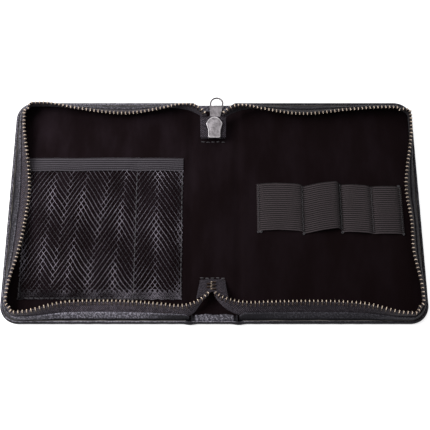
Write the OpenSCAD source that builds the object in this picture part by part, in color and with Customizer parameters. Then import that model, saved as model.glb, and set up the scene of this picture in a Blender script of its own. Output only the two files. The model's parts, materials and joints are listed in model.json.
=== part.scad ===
// Zip-round fountain pen case, lying open. X right, Y away from the zip stop, Z up.
// The origin is on the table under the middle of the spine.

/* [Case] */
// Width of the open case
open_w = 268; // [250:1:290]
// Depth of the case, along the spine
depth = 151; // [140:1:165]
// Width of the spine between its two creases
spine_w = 30; // [30:0.5:36]
// Radius of the four outer corners
corner_r = 12; // [10:0.5:14]

/* [Layers] */
// Thickness of the leather cover
skin_t = 1.2; // [1:0.1:1.4]
// Thickness of the stiff board
board_t = 1.2; // [1:0.1:1.6]
// Thickness of the velvet lining
lining_t = 0.8; // [0.6:0.1:1.2]
// Gap between two covers at a crease
crease_gap = 0.2; // [0.2:0.05:0.5]
// Distance from the crease at which the upper layers of a half start, past their own height
fold_room = 0.7; // [0.5:0.1:1.5]

/* [Edge binding] */
// Width of the rolled leather edge
binding_w = 2; // [1.6:0.1:2.4]
// Height of the rolled leather edge
binding_h = 3.4; // [3:0.1:4]

/* [Wall] */
// Height of the leather gusset along its slope
gusset_h = 5.4; // [5:0.1:6.5]
// Thickness of the leather gusset
gusset_t = 1; // [0.8:0.1:1.2]
// Overlap of the zip tape behind the gusset
tape_lap = 0.8; // [0.4:0.1:1]
// Width of the zip tape, from its seam to its corded edge
tape_w = 6.8; // [6:0.1:7]
// Thickness of the zip tape
tape_t = 0.7; // [0.5:0.05:0.8]
// Distance from the crease at which the free ends of the zip leave the walls
zip_free = 15; // [12:0.5:20]
// Lean of the left wall, near run: at the crease, the middle, past it, and before the corner
left_near_lean = [30, 60, 55, 10];
// Lean of the left wall, side run: after the corner, rising, at its most, and before the corner
left_side_lean = [14, 38, 62, 23];
// Lean of the left wall, far run: in the corner, after it, rising, the middle, and at the crease
left_far_lean = [24, 8, 27, 42, 13];
// Lean of the right wall, near run: at the crease, the middle, past it, and before the corner
right_near_lean = [47, 58, 46, 7];
// Lean of the right wall, side run: after the corner, rising, at its most, and before the corner
right_side_lean = [12, 32, 35, 3];
// Lean of the right wall, far run: in the corner, after it, rising, the middle, and at the crease
right_far_lean = [30, 23, 30, 44, 19];
// Lean of both walls in the near corners
near_corner_lean = 18; // [5:1:25]

/* [Zip teeth] */
// Distance from tooth to tooth
tooth_pitch = 2.6; // [2.4:0.1:3]
// Thickness of a tooth along the zip
tooth_t = 1.25; // [1.1:0.05:1.5]
// Width of a tooth across the tape
tooth_w = 2.2; // [2:0.1:2.4]
// Height of a tooth from its legs to its head
tooth_h = 3.3; // [3:0.1:3.6]
// Grip of the two legs over the corded edge of the tape
tooth_grip = 1.7; // [1.4:0.1:2]

/* [Net pocket] */
// Distance from the crease to the pocket's seam beside the spine
net_from_crease = 5.5; // [5.5:0.5:10]
// Distance from the outer edge of the case to the pocket's side seam
net_from_side = 12.5; // [12.5:0.5:22]
// Distance from the near edge to the pocket's bottom seam
net_bottom = 15; // [14:0.5:18]
// Height of the pocket from its bottom seam to its mouth
net_h = 95; // [85:1:104]
// Thickness of the net
net_t = 0.7; // [0.5:0.1:1]
// Slack of each pocket above the lining
net_slack = 4.7; // [4.6:0.1:5.2]
// Width of the woven hem along the mouth
hem_w = 9.2; // [6:0.2:10]
// Thickness of the woven hem
hem_t = 1.2; // [1:0.1:1.5]
// Share of the width taken by the small pocket beside the spine
small_pocket = 0.3; // [0.25:0.01:0.45]

/* [Elastic pen loops] */
// Distance from the crease to the first row of stitches
elastic_from_crease = 13; // [11:0.5:16]
// Widths of the four pen loops, from the spine outwards
loop_widths = [30.6, 24.6, 20, 19.8];
// Width of the elastic band
elastic_w = 32; // [26:1:36]
// Middle of the band along the spine
elastic_y = 0.2; // [-6:0.1:8]
// Thickness of the band
elastic_t = 1; // [0.8:0.1:1.3]
// Height of the loops above the lining
loop_rise = 5.4; // [5.2:0.1:6.5]

/* [Slider] */
// Length of the slider body
slider_l = 14.5; // [13:0.5:16]
// Width of the slider across its shoulders
slider_w = 10.9; // [10.5:0.1:12]
// Width of the slider at its narrow end
slider_neck_w = 8; // [7.8:0.1:8.6]
// Distance from the nose of the slider to its shoulders
slider_shoulder = 4.6; // [4:0.1:6]
// Length of the taper from the shoulders to the narrow end
slider_taper = 4.8; // [3:0.1:6]
// Thickness of each of its two plates
slider_plate_t = 1.1; // [1:0.05:1.3]
// Tilt of the slider, nose up
slider_tilt = 8; // [5:0.5:10]
// Height of the middle of the slider above the table
slider_z = 8.9; // [8.8:0.1:10]
// Distance from the far end of the spine to the middle of the slider
slider_from_end = 21.6; // [19:0.1:25]
// Distance from each end of the spine to the seam of the zip's tab
tab_from_end = 30.1; // [29:0.1:34]

/* [Pull] */
// Length of the pull tab from its eye to its tip
pull_l = 19.4; // [16:0.1:22]
// Width of the pull tab at its arch
pull_w = 8.6; // [7.6:0.1:8.8]
// Thickness of the pull tab
pull_t = 1.2; // [1:0.1:1.4]

/* [Hidden] */
$fn = 48;

leather = [0.10, 0.10, 0.11];
velvet = [0.11, 0.08, 0.09];
board_grey = [0.45, 0.42, 0.38];
cloth = [0.20, 0.19, 0.21];
mesh_grey = [0.24, 0.22, 0.24];
antique_brass = [0.48, 0.38, 0.26];
nickel = [0.62, 0.60, 0.58];
thread = [0.16, 0.15, 0.16];

board_z = skin_t;
lining_z = board_z + board_t;
floor_z = lining_z + lining_t;
crease_x = spine_w / 2;
// The upper layers of a half pass over the spine's own layers as it folds
edge_strip_t = 1.2;
strip_top_z = lining_z + edge_strip_t;
layer_x = crease_x + floor_z - skin_t + fold_room;
wall_x = crease_x + strip_top_z - skin_t + fold_room;

// The wall stands on the board just inside the binding
binding_room = 0.15;
wall_in = binding_w + binding_room;
wall_z = lining_z;
tape_low = gusset_h - tape_lap;
tape_top = tape_low + tape_w;
// The tape hangs a little off the gusset that it is sewn to
tape_room = 0.15;
tape_deep = gusset_t + tape_room;
tooth_low = tape_top - tooth_grip;
tooth_top = tooth_low + tooth_h;
tape_mid = tape_deep + tape_t / 2;

// The edge of a half is five stretches: near run, corner, side run, corner, far run
run_l = open_w / 2 - crease_x - corner_r;
side_l = depth - 2 * corner_r;
corner_chain_l = PI / 2 * (corner_r - wall_in - 2);
stretch_l = [run_l, corner_chain_l, side_l, corner_chain_l, run_l];
teeth_per_stretch = [for (l = stretch_l) round(l / tooth_pitch)];
free_s = zip_free / run_l;
gusset_s = (wall_x - crease_x) / run_l;
far_end = 5;

// A run's share of s that one step of a swept wall covers
run_steps = 14;
corner_steps = 8;
wall_stops = [for (k = [0 : 4], i = [0 : (k % 2 == 0 ? run_steps : corner_steps) - 1])
    k + i / (k % 2 == 0 ? run_steps : corner_steps)];

function lean_stations(near, side, far) = [
    [0, near[0]], [0.45, near[1]], [0.68, near[2]], [0.95, near[3]], [1.5, near_corner_lean],
    [2.05, side[0]], [2.25, side[1]], [2.6, side[2]], [2.95, side[3]],
    [3.6, far[0]], [4.07, far[1]], [4.3, far[2]], [4.6, far[3]], [far_end, far[4]]
];
left_lean = lean_stations(left_near_lean, left_side_lean, left_far_lean);
right_lean = lean_stations(right_near_lean, right_side_lean, right_far_lean);

// Slope of a row of stations at station i, flat at both ends
function station_slope(rows, i) = i <= 0 || i >= len(rows) - 1 ? 0 :
    (rows[i + 1][1] - rows[i - 1][1]) / (rows[i + 1][0] - rows[i - 1][0]);
function hermite(a, b, ma, mb, t) =
    a * (2 * t^3 - 3 * t^2 + 1) + ma * (t^3 - 2 * t^2 + t) + b * (3 * t^2 - 2 * t^3) + mb * (t^3 - t^2);
function lean(rows, s, i = 0) = i < len(rows) - 2 && s > rows[i + 1][0] ? lean(rows, s, i + 1) :
    let (w = rows[i + 1][0] - rows[i][0])
    hermite(rows[i][1], rows[i + 1][1], w * station_slope(rows, i), w * station_slope(rows, i + 1),
        (s - rows[i][0]) / w);

// Turn of the edge from the near run, in degrees, at s
function turn(s) = s < 1 ? 0 : s < 2 ? 90 * (s - 1) : s < 3 ? 90 : s < 4 ? 90 + 90 * (s - 3) : 180;
// Unit vector from the edge into the case, and the point on the edge, for the left half
function inward(s) = [sin(turn(s)), cos(turn(s))];
function edge_point(s) =
    s < 1 ? [-crease_x - run_l * s, -depth / 2] :
    s < 2 ? [-open_w / 2 + corner_r, -depth / 2 + corner_r] - corner_r * inward(s) :
    s < 3 ? [-open_w / 2, -depth / 2 + corner_r + side_l * (s - 2)] :
    s < 4 ? [-open_w / 2 + corner_r, depth / 2 - corner_r] - corner_r * inward(s) :
    [-open_w / 2 + corner_r + run_l * (s - 4), depth / 2];
// A point of the wall: up is measured along its slope, deep across it into the case
function wall_point(rows, s, up, deep) = let (a = lean(rows, s),
        p = edge_point(s) + inward(s) * (wall_in + up * sin(a) + deep * cos(a)))
    [p.x, p.y, wall_z + up * cos(a) - deep * sin(a)];

function bezier(p, t) =
    (1 - t)^3 * p[0] + 3 * t * (1 - t)^2 * p[1] + 3 * t^2 * (1 - t) * p[2] + t^3 * p[3];
function bezier_slope(p, t) =
    (1 - t)^2 * (p[1] - p[0]) + 2 * t * (1 - t) * (p[2] - p[1]) + t^2 * (p[3] - p[2]);

// Lengths along a row of points, from its start to each of them
function lengths_to(pts) = [for (i = 0, l = 0; i < len(pts); i = i + 1,
    l = i < len(pts) ? l + norm(pts[i] - pts[i - 1]) : l) l];
// Places along a curve for teeth at about their pitch
function tooth_places(p) = let (
        steps = 24,
        l = lengths_to([for (i = [0 : steps]) bezier(p, i / steps)]),
        rows = [for (i = [0 : steps]) [l[i], i / steps]],
        count = floor(l[steps] / tooth_pitch))
    [for (k = [0 : count - 1]) lookup((k + 0.5) * l[steps] / count, rows)];

// A row of upstanding arches: 0 at each seam and 1 over the middle of each arch
function arch(t) = 1 - (2 * t - 1)^4;

// A closed band through rings of points of one size
module skin(rings) {
    n = len(rings[0]);
    last = len(rings) - 1;
    polyhedron(
        points = [for (r = rings) each r],
        faces = concat(
            [[for (i = [n - 1 : -1 : 0]) i]],
            [for (k = [0 : last - 1], i = [0 : n - 1]) let (a = k * n + i, b = k * n + (i + 1) % n)
                each [[a, b, b + n], [a, b + n, a + n]]],
            [[for (i = [0 : n - 1]) last * n + i]]
        ),
        convexity = 10
    );
}

// A closed sheet between an upper and a lower grid of points
module sheet(upper, lower) {
    rows = len(upper);
    n = len(upper[0]);
    size = rows * n;
    // Goes round the rim of the grid once
    rim = concat(
        [for (j = [0 : n - 2]) j], [for (i = [0 : rows - 2]) i * n + n - 1],
        [for (j = [n - 1 : -1 : 1]) (rows - 1) * n + j], [for (i = [rows - 1 : -1 : 1]) i * n]
    );
    polyhedron(
        points = concat([for (r = upper) each r], [for (r = lower) each r]),
        faces = concat(
            [for (i = [0 : rows - 2], j = [0 : n - 2])
                [i * n + j, (i + 1) * n + j, (i + 1) * n + j + 1, i * n + j + 1]],
            [for (i = [0 : rows - 2], j = [0 : n - 2]) let (k = size + i * n + j)
                [k, k + 1, k + n + 1, k + n]],
            [for (k = [0 : len(rim) - 1]) let (a = rim[k], b = rim[(k + 1) % len(rim)])
                [a, b, size + b, size + a]]
        ),
        convexity = 10
    );
}

function stops_between(from, to) =
    concat([from], [for (s = wall_stops) if (s > from + 0.02 && s < to - 0.02) s], [to]);

// Puts its children on the wall at s: X along the edge, Y across the wall into the case, Z up its slope
module on_wall(rows, s) {
    p = edge_point(s);
    translate([p.x, p.y, 0]) rotate([0, 0, -turn(s)])
        translate([0, wall_in, wall_z]) rotate([-lean(rows, s), 0, 0]) children();
}

// Outline of the left half, in from its edge by inset and out from the spine by start
module half_outline(inset, start) {
    r = corner_r - inset;
    x = -open_w / 2 + corner_r;
    y = depth / 2 - corner_r;
    for (side = [-1, 1]) translate([x, side * y]) circle(r = r);
    translate([x - r, -y]) square([r, 2 * y]);
    translate([x, -y - r]) square([-start - x, 2 * (y + r)]);
}

// Sweeps a profile (x inwards from the edge, y up) round the edge of the left half
module edge_sweep(start) {
    x = open_w / 2 - corner_r;
    y = depth / 2 - corner_r;
    for (side = [0, 1]) mirror([0, side, 0]) {
        translate([-x, -depth / 2, 0]) rotate([90, 0, 90]) linear_extrude(x - start) children();
        translate([-x, -y, 0]) rotate([0, 0, 180]) rotate_extrude(angle = 90)
            translate([corner_r, 0]) mirror([1, 0]) children();
    }
    translate([-open_w / 2, y, 0]) rotate([90, 0, 0]) linear_extrude(2 * y) children();
}

module binding_profile() {
    r = binding_w / 2;
    translate([r, r]) circle(r);
    translate([r, binding_h - r]) circle(r);
    translate([0, r]) square([binding_w, binding_h - 2 * r]);
}

// ---- both halves ----
module half_cover() color(leather) {
    linear_extrude(skin_t) half_outline(binding_w, crease_x + crease_gap);
    // Out under the rolled edge, with an overlap into the skin
    for (side = [0, 1]) mirror([0, side, 0])
        translate([-wall_x, -depth / 2, 0])
            cube([wall_x - crease_x - crease_gap, binding_w + skin_t, skin_t]);
}
module half_board() color(board_grey)
    translate([0, 0, board_z]) linear_extrude(board_t) half_outline(binding_w, layer_x);
// The lining ends at the foot of the wall, or under the tape where that leans low over it
lining_room = 0.1;
tape_over = 0.3;
function lining_in(a) = let (
        inner = tape_low * cos(a) - (tape_deep + tape_t) * sin(a) < lining_t + tape_over
            ? tape_deep + tape_t : gusset_t)
    wall_in + (lining_t * sin(a) + inner) / cos(a) + lining_room;
function lining_line(rows) = [for (s = stops_between(gusset_s, far_end - gusset_s))
    edge_point(s) + inward(s) * lining_in(lean(rows, s))];
module half_lining(rows) color(velvet) translate([0, 0, lining_z]) linear_extrude(lining_t)
    let (line = lining_line(rows), last = len(line) - 1)
        polygon(concat([[-layer_x, line[0].y]], line, [[-layer_x, line[last].y]]));
module half_binding() color(leather) edge_sweep(wall_x) binding_profile();
module half_gusset(rows) color(leather)
    skin([for (s = stops_between(gusset_s, far_end - gusset_s)) [
        wall_point(rows, s, 0, 0),
        wall_point(rows, s, gusset_h, 0),
        wall_point(rows, s, gusset_h, gusset_t),
        wall_point(rows, s, gusset_t * tan(lean(rows, s)), gusset_t)
    ]]);
module half_tape(rows) color(cloth)
    skin([for (s = stops_between(free_s, far_end - free_s))
        [for (c = [[0, 0], [1, 0], [1, 1], [0, 1]])
            wall_point(rows, s, tape_low + c[0] * tape_w, tape_deep + c[1] * tape_t)]]);

leg_room = 0.05;
head_h = 0.9;
// One tooth: two legs that grip the tape's edge, a body and a narrower head
module tooth() {
    slot = tape_t / 2 + leg_room;
    half = tooth_w / 2;
    shoulder = tooth_top - head_h;
    translate([-tooth_t / 2, tape_mid, 0]) rotate([90, 0, 90]) linear_extrude(tooth_t) polygon([
        [-half, tooth_low], [-slot, tooth_low], [-slot, tape_top], [slot, tape_top], [slot, tooth_low],
        [half, tooth_low], [half, shoulder], [0.55 * half, tooth_top],
        [-0.55 * half, tooth_top], [-half, shoulder]
    ]);
}
module half_teeth(rows) color(antique_brass)
    for (k = [0 : 4], i = [0 : teeth_per_stretch[k] - 1]) {
        s = k + (i + 0.5) / teeth_per_stretch[k];
        if (s > free_s + 0.01 && s < far_end - free_s - 0.01) on_wall(rows, s) tooth();
    }

// ---- free ends of the zip, between the walls and the middle of the spine ----
// Each is a tape between two curves, for the left half; side is -1 near and 1 far
function end_s(side) = side < 0 ? free_s : far_end - free_s;
function wall_end(rows, side, up) = wall_point(rows, end_s(side), up, tape_deep);
function end_curve(rows, side, up) = let (q = wall_end(rows, side, up)) side < 0
    ? (up > gusset_h
        ? [near_top_start, near_top_start + [-3.6, -4.4, 2.6], q + [15.9, -1.4, 0.1], q]
        : [near_low_start, near_low_start + [-3.5, -7, -1.6], q + [13, -1.2, -0.9], q])
    : (up > gusset_h
        ? [far_top_start, far_top_start + [-4.8, 2.4, 4.8], q + [16.6, 2.6, 1.8], q]
        : [far_low_start, far_low_start + [-2.2, 3.6, -1.6], q + [10, 0, 0.4], q]);
module tape_end(rows, side) {
    top = end_curve(rows, side, tape_top);
    low = end_curve(rows, side, tape_low);
    across = [0, -side * tape_t, 0];
    rings = [for (i = [0 : 12]) let (a = bezier(low, i / 12), b = bezier(top, i / 12))
        side < 0 ? [a, b, b + across, a + across] : [b, a, a + across, b + across]];
    color(cloth) skin(rings);
}
module end_teeth(rows, side) {
    top = end_curve(rows, side, tape_top);
    low = end_curve(rows, side, tape_low);
    color(antique_brass) for (t = tooth_places(top)) {
        p = bezier(top, t) + [0, -side * tape_t / 2, 0];
        run = bezier_slope(top, t);
        slant = bezier(top, t) - bezier(low, t);
        turned = side < 0 ? atan2(-run.y, -run.x) : atan2(run.y, run.x);
        inner = [-sin(turned), cos(turned)];
        leaned = atan2(slant.x * inner.x + slant.y * inner.y, slant.z);
        translate(p) rotate([0, 0, turned]) rotate([-leaned, 0, 0])
            translate([0, -tape_mid, -tape_top]) tooth();
    }
}

// ---- spine ----
module spine_cover() color(leather)
    translate([-crease_x + crease_gap, -depth / 2 + binding_w, 0])
        cube([spine_w - 2 * crease_gap, depth - 2 * binding_w, skin_t]);
module spine_board() color(board_grey)
    translate([-crease_x + 0.8, -depth / 2 + binding_w, board_z])
        cube([spine_w - 1.6, depth - 2 * binding_w, board_t]);
edge_strip_w = 6;
module spine_lining() color(velvet)
    translate([-crease_x + 0.6, -depth / 2 + edge_strip_w, lining_z])
        cube([spine_w - 1.2, depth - 2 * edge_strip_w, lining_t]);
// Cover leather turned in over each end of the spine
module spine_edge(side) {
    roll = strip_top_z / 2;
    color(leather) translate([-crease_x + 0.4, 0, 0]) rotate([90, 0, 90]) linear_extrude(spine_w - 0.8)
        mirror([side < 0 ? 1 : 0, 0]) {
            intersection() {
                translate([depth / 2 - roll, roll]) circle(roll);
                translate([depth / 2 - binding_w, 0]) square([binding_w, strip_top_z]);
            }
            translate([depth / 2 - edge_strip_w, lining_z]) square([edge_strip_w - binding_w, edge_strip_t]);
        }
}
module spine_edge_far() spine_edge(1);
module spine_edge_near() spine_edge(-1);

// ---- sewn tape tabs at both ends of the zip ----
tab_w = 17.4;
tab_seam_y = depth / 2 - tab_from_end;
chain_w = 5.8;
slider_y = depth / 2 - slider_from_end;
chain_y = slider_y - slider_l / 2;
// Where the slider's middle plane meets its narrow end
neck_z = slider_z - slider_l / 2 * sin(slider_tilt);
module slider_frame() translate([0, slider_y, slider_z]) rotate([slider_tilt, 0, 0]) children();

module zip_tab_far() color(cloth) {
    t = tape_t;
    foot = floor_z;
    rise_y = chain_y - 1.1;
    top_z = neck_z + t / 2 - 0.15;
    end_y = chain_y - 0.7;
    translate([-tab_w / 2, 0, 0]) rotate([90, 0, 90]) linear_extrude(tab_w) polygon([
        [tab_seam_y - 1.6, foot], [rise_y + 0.5, foot], [end_y, top_z - t], [end_y, top_z],
        [rise_y - 0.3, top_z], [rise_y - 0.3, foot + t], [tab_seam_y - 1.6, foot + t]
    ]);
    slider_frame() for (side = [-1, 1])
        translate([side < 0 ? -tab_w / 2 : chain_w / 2, -slider_l / 2 - 0.8, -t / 2])
            cube([(tab_w - chain_w) / 2, slider_l + 1.35, t]);
}
// The near tab rises from its seam to the point where the two tapes part
near_tab_flat = 2.4;
near_tab_foot = [-tab_seam_y - near_tab_flat, floor_z];
near_tab_l = 8.8;
near_tab_h = 4.3;
near_tab_tip = near_tab_foot + [-near_tab_l, near_tab_h];
// Where the free ends of the tapes start
near_end_y = near_tab_tip.x - 0.65;
near_top_start = [-1.9, near_end_y, near_tab_tip.y + 1.7];
near_low_start = [-4.6, near_end_y - 0.4, near_tab_tip.y - 0.6];
mouth_room = 1.6;
far_end_y = slider_y + slider_l / 2 + mouth_room;
far_top_start = [-5.2, far_end_y, slider_z + 1.8];
far_low_start = [-8.7, far_end_y - 0.2, slider_z + 0.6];
near_tab_rise = atan2(near_tab_tip.y - near_tab_foot.y, near_tab_foot.x - near_tab_tip.x);
module zip_tab_near() color(cloth) intersection() {
    translate([-tab_w, 0, 0]) rotate([90, 0, 90]) linear_extrude(2 * tab_w) polygon([
        [-tab_seam_y, floor_z], near_tab_foot, near_tab_tip,
        near_tab_tip + [0, tape_t], near_tab_foot + [0.2, tape_t], [-tab_seam_y, floor_z + tape_t]
    ]);
    linear_extrude(2 * slider_z) polygon([
        [-tab_w / 2, -tab_seam_y], [tab_w / 2, -tab_seam_y], [tab_w / 2 + 2, near_tab_tip.x],
        [-tab_w / 2 - 2, near_tab_tip.x]
    ]);
}
module stitch_row(count, pitch, size) for (i = [0 : count - 1])
    translate([(i - (count - 1) / 2) * pitch - size.x / 2, -size.y / 2, 0]) cube(size);
module tab_stitches() color(thread) for (y = [tab_seam_y - 0.6, -tab_seam_y - 1.1])
    translate([0, y, floor_z + tape_t]) stitch_row(5, 3.3, [2.3, 0.6, 0.3]);

// A straight piece of closed chain: teeth of two tapes in turn
module closed_chain(pairs) for (i = [0 : 2 * pairs - 1]) {
    side = i % 2 == 0 ? 1 : -1;
    translate([side * chain_w / 10, (i + 0.5) * tooth_pitch / 2, 0])
        cube([chain_w * 0.8, tooth_t * 0.9, tooth_w], center = true);
}
module zip_chain_start() color(antique_brass) slider_frame()
    translate([0, -slider_l / 2 + 0.3, 0]) {
        closed_chain(3);
        translate([-chain_w / 2, -0.7, -tooth_w / 2]) cube([chain_w, 0.7, tooth_w]);
    }
chain_end_at = 5.4;
module zip_chain_end() color(antique_brass)
    translate([0, near_tab_foot.x, near_tab_foot.y + tape_t + 0.05]) rotate([-near_tab_rise, 0, 0])
        translate([0, chain_end_at - near_tab_l, tooth_w / 2 + 0.2]) rotate([0, 0, 180]) closed_chain(2);

// ---- left half ----
module left_cover() half_cover();
module left_board() half_board();
module left_lining() half_lining(left_lean);
module left_binding() half_binding();
module left_gusset() half_gusset(left_lean);
module left_tape() half_tape(left_lean);
module left_teeth() half_teeth(left_lean);
module left_tape_end_far() tape_end(left_lean, 1);
module left_tape_end_near() tape_end(left_lean, -1);
module left_end_teeth_far() end_teeth(left_lean, 1);
module left_end_teeth_near() end_teeth(left_lean, -1);

net_x = -crease_x - net_from_crease;
net_w = open_w / 2 - crease_x - net_from_crease - net_from_side;
net_y = -depth / 2 + net_bottom;
mouth_y = net_y + net_h;
pocket_edges = [net_x - net_w, net_x - net_w * small_pocket, net_x];
// The net lies flat along its seams, and each pocket rises between two of them
flat_w = 1.2;
pockets = [
    [pocket_edges[0] + flat_w, pocket_edges[1] - flat_w],
    [pocket_edges[1] + flat_w, pocket_edges[2] - flat_w]
];
pocket_steps = [14, 10];
net_xs = concat([pocket_edges[0]], [for (k = [0, 1], i = [0 : pocket_steps[k]])
    pockets[k][0] + (pockets[k][1] - pockets[k][0]) * i / pocket_steps[k]], [net_x]);
net_rises = concat([0], [for (k = [0, 1], i = [0 : pocket_steps[k]])
    net_slack * arch(i / pocket_steps[k])], [0]);
function ease(t) = t <= 0 ? 0 : t >= 1 ? 1 : t * t * (3 - 2 * t);
module pocket_net() color(mesh_grey) {
    ease_l = 25;
    rise_y = net_y + flat_w;
    ys = concat([net_y], [for (i = [0 : 5]) rise_y + ease_l * i / 5], [mouth_y - hem_w]);
    layers = [for (up = [0, net_t]) [for (y = ys) [for (i = [0 : len(net_xs) - 1])
        [net_xs[i], y, floor_z + up + ease((y - rise_y) / ease_l) * net_rises[i]]]]];
    sheet(layers[1], layers[0]);
}
module pocket_hem() color(cloth)
    translate([0, mouth_y, 0]) rotate([90, 0, 0]) linear_extrude(hem_w) polygon(concat(
        [for (i = [0 : len(net_xs) - 1]) [net_xs[i], floor_z + net_rises[i]]],
        [for (i = [len(net_xs) - 1 : -1 : 0]) [net_xs[i], floor_z + hem_t + net_rises[i]]]
    ));
stitch = [2, 0.6, 0.3];
stitch_pitch = 3.2;
module pocket_stitches() color(thread) {
    seam_l = net_h - hem_w - 4;
    for (x = [pocket_edges[0] + 0.5, pocket_edges[1], pocket_edges[2] - 0.5])
        translate([x, net_y + 1 + seam_l / 2, floor_z + net_t + 0.02]) rotate([0, 0, 90])
            stitch_row(floor(seam_l / stitch_pitch), stitch_pitch, stitch);
    translate([net_x - net_w / 2, net_y + 0.5, floor_z + net_t + 0.02])
        stitch_row(floor((net_w - 8) / stitch_pitch), stitch_pitch, stitch);
}

// ---- right half ----
module on_right() mirror([1, 0, 0]) children();
module right_cover() on_right() half_cover();
module right_board() on_right() half_board();
module right_lining() on_right() half_lining(right_lean);
module right_binding() on_right() half_binding();
module right_gusset() on_right() half_gusset(right_lean);
module right_tape() on_right() half_tape(right_lean);
module right_teeth() on_right() half_teeth(right_lean);
module right_tape_end_far() on_right() tape_end(right_lean, 1);
module right_tape_end_near() on_right() tape_end(right_lean, -1);
module right_end_teeth_far() on_right() end_teeth(right_lean, 1);
module right_end_teeth_near() on_right() end_teeth(right_lean, -1);

function sum_to(v, n) = n <= 0 ? 0 : v[n - 1] + sum_to(v, n - 1);
loop_count = len(loop_widths);
elastic_x = crease_x + elastic_from_crease;
seam_w = 2;
seam_xs = [for (i = [0 : loop_count]) elastic_x + sum_to(loop_widths, i)];
band_end = 1.4;
loop_line = concat(
    [[seam_xs[0] - band_end, 0]],
    [for (i = [0 : loop_count - 1], k = [0 : 12]) let (
            x0 = seam_xs[i] + seam_w / 2,
            x1 = seam_xs[i + 1] - seam_w / 2)
        [x0 + (x1 - x0) * k / 12, loop_rise * arch(k / 12)]],
    [[seam_xs[loop_count] + band_end, 0]]
);
module elastic_band() color(cloth)
    translate([0, elastic_y + elastic_w / 2, floor_z]) rotate([90, 0, 0]) linear_extrude(elastic_w)
        polygon(concat(
            loop_line,
            [for (i = [len(loop_line) - 1 : -1 : 0]) loop_line[i] + [0, elastic_t]]
        ));
module elastic_stitches() color(thread) for (x = seam_xs)
    translate([x, elastic_y, floor_z + elastic_t]) rotate([0, 0, 90])
        stitch_row(floor((elastic_w - 2) / stitch_pitch), stitch_pitch, stitch);

// ---- slider and pull ----
// Room round the closed chain inside the slider
chain_room = 0.35;
gap_h = tooth_w + 2 * chain_room;
slider_h = gap_h + 2 * slider_plate_t;
flange_w = (slider_neck_w - chain_w) / 2 - chain_room;
flange_h = (gap_h - tape_t) / 2 - chain_room;
wedge_l = 5.8;
// An arched nose, shoulders, a taper and a straight narrow end
module slider_outline() {
    nose = slider_l / 2;
    nose_r = 0.42 * slider_w;
    shoulder_r = 0.5;
    tail = slider_l - slider_shoulder - slider_taper;
    translate([-slider_neck_w / 2, -nose]) square([slider_neck_w, tail]);
    hull() {
        translate([-slider_neck_w / 2, tail - nose - 0.1]) square([slider_neck_w, 0.1]);
        for (side = [-1, 1]) translate([side * (slider_w / 2 - shoulder_r), nose - slider_shoulder])
            circle(shoulder_r);
        translate([0, nose - nose_r]) circle(nose_r);
    }
}
module slider_body() color(nickel) slider_frame() difference() {
    union() {
        for (side = [0, 1]) mirror([0, 0, side]) {
            translate([0, 0, gap_h / 2]) linear_extrude(slider_plate_t) slider_outline();
            for (edge = [0, 1]) mirror([edge, 0, 0])
                translate([slider_neck_w / 2 - flange_w, -slider_l / 2, gap_h / 2 - flange_h])
                    cube([flange_w, slider_l * 0.5, flange_h]);
        }
        // The wedge between the two mouths joins the plates
        translate([0, 0, -gap_h / 2]) linear_extrude(gap_h) polygon([
            [0, slider_l / 2 - wedge_l], [1.7, slider_l / 2 - 1.6],
            [0, slider_l / 2 - 0.6], [-1.7, slider_l / 2 - 1.6]
        ]);
    }
}
// The bail under the slider's outer plate holds the eye of the pull
bail_w = 2;
bail_t = 0.8;
bail_room = 2.6;
bail_l = 7;
bail_y = slider_l / 2 - 1 - bail_l / 2;
module slider_bail() color(nickel) slider_frame()
    translate([-bail_w / 2, bail_y, -slider_h / 2]) rotate([90, 0, 90]) linear_extrude(bail_w) difference() {
        translate([-bail_l / 2, -bail_room]) square([bail_l, bail_room]);
        translate([-bail_l / 2 + bail_t, -bail_room + bail_t]) square([bail_l - 2 * bail_t, bail_room]);
    }

// The pull hangs in the bail and leans on the far edge of the spine, its tip past it
pull_eye = [0, 4.4, -slider_h / 2 - (bail_room - bail_t) / 2];
pull_y = slider_y + pull_eye.y * cos(slider_tilt) - pull_eye.z * sin(slider_tilt);
pull_z = slider_z + pull_eye.y * sin(slider_tilt) + pull_eye.z * cos(slider_tilt);
lean_y = depth / 2 - binding_w / 2;
pull_lean = asin((pull_z - pull_t / 2 - strip_top_z - 0.3) / (lean_y - pull_y));
pull_neck_w = 5;
pull_eye_l = 2.6;
pull_rim = 1.6;
pull_plate_l = 8.6;
module pull_tab() color(nickel) translate([0, pull_y, pull_z]) rotate([-pull_lean, 0, 0]) {
    arch_r = pull_w / 2;
    // The round bar turns in the bail
    translate([-pull_neck_w / 2, 0, 0]) rotate([0, 90, 0]) cylinder(d = pull_t, h = pull_neck_w);
    translate([0, 0, -pull_t / 2]) linear_extrude(pull_t) {
        // Two sides lead from the bar to the plate
        for (side = [-1, 1]) translate([side * (pull_neck_w - 1) / 2 - 0.5, 0]) square([1, pull_eye_l + 1]);
        translate([-pull_w / 2 + 0.5, pull_eye_l]) square([pull_w - 1, pull_plate_l - pull_eye_l]);
        // The arch with its D-shaped finger hole
        difference() {
            union() {
                translate([0, pull_l - arch_r]) circle(arch_r);
                translate([-arch_r, pull_plate_l]) square([pull_w, pull_l - arch_r - pull_plate_l]);
            }
            translate([0, pull_l - arch_r]) circle(arch_r - pull_rim);
            translate([-arch_r + pull_rim, pull_plate_l + 1])
                square([pull_w - 2 * pull_rim, pull_l - arch_r - pull_plate_l - 1]);
        }
    }
}

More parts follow.
